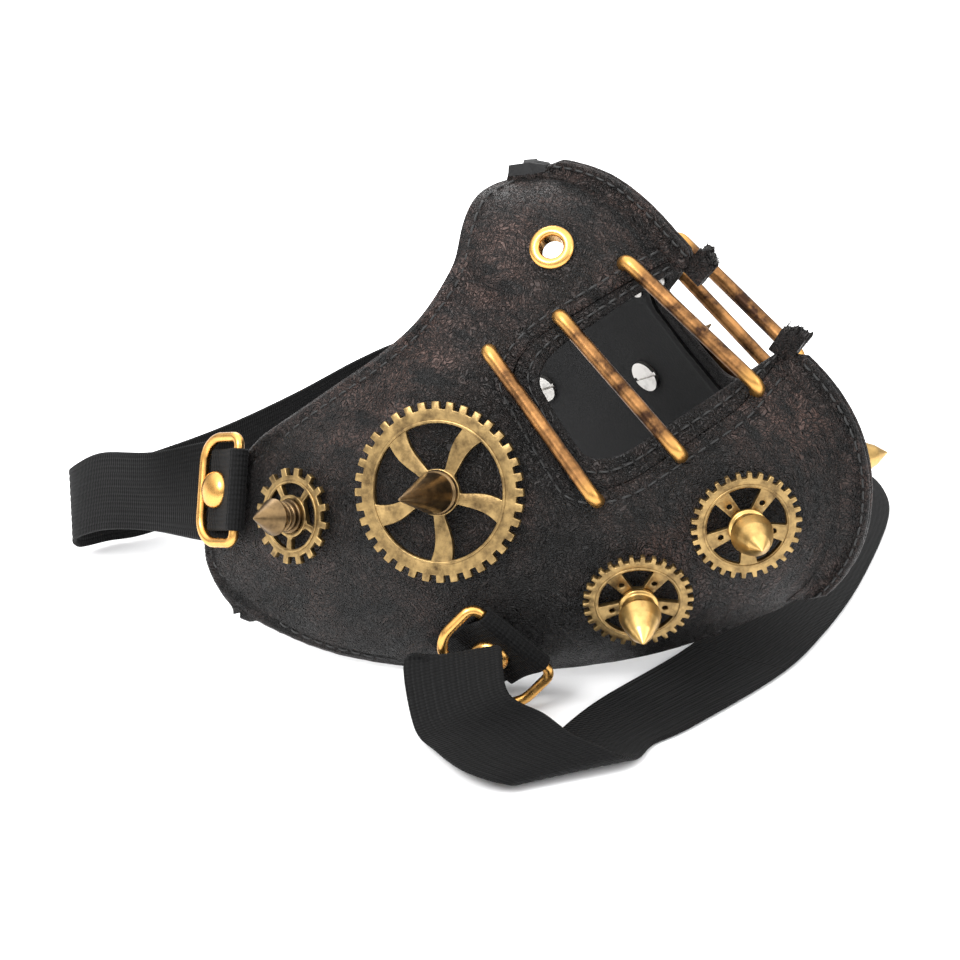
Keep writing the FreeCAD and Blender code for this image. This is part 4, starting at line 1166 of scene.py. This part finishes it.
def gear_objects():
    """Each kind of gear is built flat once and set on its seat on both sides."""
    for name in SPIKED:
        kind = name + "_gear" if name in ("cheek", "ear") else "chin_gear"
        radius, teeth, depth, tip, root, inner, outer, spoke, flare, bend, hole = GEAR_KINDS[kind]
        pile = Pile()
        holes = [circle(2.0)]
        for i in range(5):
            start = 90.0 + i * 72.0
            holes.append(window_outline(start, start + 72.0, inner * radius, outer * radius,
                                        spoke, flare, bend))
            if hole:
                holes.append(circle(hole, 16, polar(0.5 * radius, start)))
        plate(pile, tooth_outline(radius, teeth, depth, tip, root), holes, 0.0, GEAR_THICK)
        for low_share, high_share in GEAR_RIMS[kind]:
            plate(pile, circle(high_share * radius, 72), [circle(low_share * radius, 72)],
                  GEAR_RIM_LOW, GEAR_RIM_HIGH)
        for side in SIDES:
            points = Seat(name + "_gear", side, GEAR_LIFT).world(pile.points)
            item = make_mesh("%s %s gear" % (side, name.replace("_", " ")), points, pile.faces, ANTIQUE)
            bevel(item, 0.16, 2, 35)
            node_name = "%s_%s_gear" % (side, name)
            on_body(item, node_name + "_body", "antique_brass", node_name)


# ---------------------------------------------------------------- rings, tabs and straps
def ring_objects():
    half = RING_LONG / 2
    corners = [(-half, 0, 2.0), (half, 0, 2.0), (half, RING_WIDE, 5.5), (-half, RING_WIDE, 5.5)]
    loop = rounded_loop(corners, 0.6)
    flat = np.concatenate([loop, np.zeros((len(loop), 1))], axis=1)
    for side in SIDES:
        for ring in ("ear", "jaw"):
            points, faces = tube_shape(ring_seat(ring, side).world(flat), RING_ROD, around=20, closed=True)
            item = make_mesh("%s %s strap ring" % (side, ring), points, faces, GOLD)
            node_name = "%s_%s_ring" % (side, ring)
            on_body(item, node_name + "_body", "gold_brass", node_name)


def smooth_path(points, spacing):
    """Catmull-Rom curve through pairs of edge points, resampled evenly along its middle line."""
    points = np.asarray(points, float)
    padded = np.concatenate([[2 * points[0] - points[1]], points, [2 * points[-1] - points[-2]]])
    dense = []
    for i in range(1, len(padded) - 2):
        a, b, c, d = padded[i - 1:i + 3]
        for k in range(16):
            t = k / 16
            dense.append(0.5 * (2 * b + (c - a) * t + (2 * a - 5 * b + 4 * c - d) * t * t
                                + (3 * b - a - 3 * c + d) * t ** 3))
    dense.append(points[-1])
    dense = np.array(dense)
    middle = (dense[:, :3] + dense[:, 3:6]) / 2
    lengths = running_length(middle)
    count = int(lengths[-1] / spacing) + 1
    return at_lengths(np.linspace(0, lengths[-1], count), lengths, dense)


def band_mesh(name, left, right, thick=1.1, ribs=11):
    """Flat elastic between two edge paths: rounded edges and lengthwise ribs on both faces."""
    left, right = np.asarray(left, float), np.asarray(right, float)
    middle = (left + right) / 2
    ahead = np.gradient(middle, axis=0)
    across = right - left
    out = np.cross(ahead, across)
    out /= np.linalg.norm(out, axis=1)[:, None]
    lengths = running_length(middle)
    shares = np.linspace(0, 1, ribs * 6 + 1)
    wide = float(np.mean(np.linalg.norm(across, axis=1)))
    profile = []
    for t in shares:
        edge = min(t, 1 - t) * wide
        round_off = math.sqrt(max(0.0, 1 - max(0.0, 1 - edge / (thick * 0.5)) ** 2))
        rib = 0.13 * (abs(math.sin(math.pi * ribs * t)) ** 0.7 - 1)
        profile.append(max(0.03, thick / 2 * round_off + rib * round_off))
    ring_t = list(shares) + list(shares[-2:0:-1])
    ring_z = profile + [-z for z in profile[-2:0:-1]]
    count = len(ring_t)
    points = np.concatenate([[left[i] + across[i] * t + out[i] * z for t, z in zip(ring_t, ring_z)]
                             for i in range(len(left))])
    item = make_mesh(name, points, capped_faces(len(left), count), ELASTIC, sharp=70)
    layer = item.data.uv_layers.new(name="weave")
    values = np.zeros((len(item.data.loops), 2), np.float32)
    index = np.zeros(len(item.data.loops), np.int32)
    item.data.loops.foreach_get("vertex_index", index)
    values[:, 0] = lengths[np.minimum(index // count, len(lengths) - 1)] * MM
    values[:, 1] = np.array(ring_t)[index % count] * wide * MM
    layer.data.foreach_set("uv", values.ravel())
    return item


def local_pair(place, half, along, height):
    """The two edge points of a band that crosses a seat, as one row of six numbers."""
    return np.concatenate([place.world((half, along, height))[0], place.world((-half, along, height))[0]])


def route_pairs(route):
    return [np.concatenate([table_point(*left), table_point(*right)]) for left, right in route]


def ribbon(name, pairs, spacing=0.9, **options):
    path = smooth_path(pairs, spacing)
    return band_mesh(name, path[:, :3], path[:, 3:6], **options), path


def tab_objects():
    """Elastic folded round each ring's inner bar and riveted down."""
    for side in SIDES:
        for ring in ("ear", "jaw"):
            place = Seat(ring + "_ring", side)
            profile = [(9.2, 1.72), (6.0, 1.72), (3.0, 1.70)]
            for k in range(9):
                angle = math.radians(-60 - 240 * k / 8)
                profile.append((TAB_FOLD * math.cos(angle), RING_AXIS + TAB_FOLD * math.sin(angle) * 0.95))
            profile += [(3.2, 3.3), (6.0, 2.58), (9.2, 2.55)]
            if ring == "jaw":
                profile = [(17.6, -1.0), (14.0, -0.1), (11.0, 0.55), (8.0, 1.2)] + profile[1:]
            pairs = [local_pair(place, TAB_HALF, y, z) for y, z in profile]
            item, path = ribbon("%s %s tab" % (side, ring), pairs, 0.45, thick=0.92, ribs=9)
            on_body(item, "mask", "elastic", "%s_%s_tab" % (side, ring))


def head_strap_object():
    """The head strap, from under one ear tab round the back to the other."""
    height, stations = 0.65, (2.9, 8.0, 14.5)
    near_seat = Seat("ear_ring", "right")
    start = [local_pair(near_seat, 11, along, height) for along in stations]
    far_seat = Seat("ear_ring", "left")
    finish = [np.roll(local_pair(far_seat, 11, along, height), 3) for along in stations[::-1]]
    item, path = ribbon("head strap", start + route_pairs(HEAD_ROUTE) + finish)
    on_body(item, "mask", "elastic", "head_strap")


def neck_strap_objects():
    # the neck strap loops round each jaw ring's outer bar; it is made in three stretches, and only the
    # middle one is attached to the mask body
    loops = {}
    for side in SIDES:
        place = ring_seat("jaw", side)
        loop = []
        for k in range(11):
            angle = math.radians(-250 + 250 * k / 10)
            half = 6.0 + 0.5 * k / 10
            loop.append(local_pair(place, half, RING_WIDE + STRAP_LOOP * math.cos(angle),
                                   STRAP_LOOP * math.sin(angle)))
        loop.append(local_pair(place, 7.0, RING_WIDE + 1.8, 3.4))
        loops[side] = loop
    pairs = loops["right"] + route_pairs(NECK_ROUTE) + loops["left"][::-1]
    path = smooth_path(pairs, 0.9)
    middle = (path[:, :3] + path[:, 3:6]) / 2
    under_chin = int(np.argmin(np.linalg.norm(middle - table_point(65, -3, 0.7), axis=1)))
    far_bend = int(np.argmin(np.linalg.norm(middle - table_point(5, -102, 10), axis=1)))
    parts = {"right": path[:under_chin + 1], "middle": path[under_chin:far_bend + 1],
             "left": path[far_bend:]}
    for name, part in parts.items():
        item = band_mesh(name + " stretch of neck strap", part[:, :3], part[:, 3:6])
        if name == "middle":
            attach(item, "mask")
            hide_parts("neck_strap")
            continue
        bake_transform(item)


def dress_cad_nodes():
    """The hardware behind the leather keeps its CAD shape and is nickel."""
    for name in ("bar_washers", "eyelet_washers", "rivet_caps", "spike_screws"):
        materials = NODES[name].data.materials
        materials.clear()
        materials.append(NICKEL)


# ---------------------------------------------------------------- floor, light and camera
def build_studio():
    bpy.ops.mesh.primitive_plane_add(size=6.0, location=(0, 0, -0.0002))
    floor = bpy.context.object
    floor.name = "floor"
    material, _, shader = new_material("white table")
    shader.inputs["Base Color"].default_value = (0.92, 0.92, 0.925, 1)
    shader.inputs["Roughness"].default_value = 0.55
    floor.data.materials.append(material)
    build_world()
    centre = Vector((SHIFT_X * MM, SHIFT_Y * MM, 0.045))
    for name, place, energy, size in (("key", (-0.60, 0.05, 0.60), 5.0, 0.30),
                                      ("fill", (0.05, -0.75, 0.40), 1.6, 0.35),
                                      ("back", (0.45, 0.50, 0.50), 2.5, 0.4)):
        lamp = bpy.data.lights.new(name, "AREA")
        lamp.energy = energy
        lamp.size = size
        item = bpy.data.objects.new(name, lamp)
        item.location = place
        item.rotation_euler = (centre - Vector(place)).to_track_quat("-Z", "Y").to_euler()
        bpy.context.scene.collection.objects.link(item)


def build_world():
    """A white studio ceiling that dims lower down, over a white band at the horizon."""
    world = bpy.data.worlds.new("studio")
    bpy.context.scene.world = world
    bpy.context.scene.view_settings.view_transform = "Standard"
    world.use_nodes = True
    tree = world.node_tree
    source = tree.nodes.new("ShaderNodeTexCoord")
    split = tree.nodes.new("ShaderNodeSeparateXYZ")
    tree.links.new(source.outputs["Generated"], split.inputs["Vector"])
    brightest = node(tree, "ShaderNodeMath", operation="MAXIMUM")
    for i, limits in enumerate(((0.05, 0.90, 0.25, 2.7), (0.10, 0.18, 1.0, 0.25))):
        level = node(tree, "ShaderNodeMapRange")
        level.interpolation_type = "SMOOTHSTEP"
        for name, value in zip(("From Min", "From Max", "To Min", "To Max"), limits):
            level.inputs[name].default_value = value
        tree.links.new(split.outputs["Z"], level.inputs["Value"])
        tree.links.new(level.outputs["Result"], brightest.inputs[i])
    tree.links.new(brightest.outputs[0], tree.nodes["Background"].inputs["Strength"])
    tree.nodes["Background"].inputs["Color"].default_value = (1, 1, 1, 1)


def build_camera():
    azimuth, elevation, distance = math.radians(-55.0), math.radians(24.0), 0.420
    target = Vector((SHIFT_X * MM, SHIFT_Y * MM, STAND * MM))
    back = Vector((math.sin(azimuth) * math.cos(elevation), -math.cos(azimuth) * math.cos(elevation),
                   math.sin(elevation)))
    camera = bpy.data.objects.new("camera", bpy.data.cameras.new("camera"))
    camera.data.lens = 69.3
    camera.data.sensor_width = 36.0
    camera.data.clip_start = 0.02
    camera.location = target + back * distance
    camera.rotation_euler = (-back).to_track_quat("-Z", "Y").to_euler()
    bpy.context.scene.collection.objects.link(camera)
    bpy.context.scene.camera = camera


gild_bar_material()
panel_objects()
seam_objects()
stitch_objects()
trim_objects()
tongue_objects()
bar_objects()
turned_objects()
gear_objects()
ring_objects()
tab_objects()
head_strap_object()
neck_strap_objects()
dress_cad_nodes()
build_studio()
build_camera()
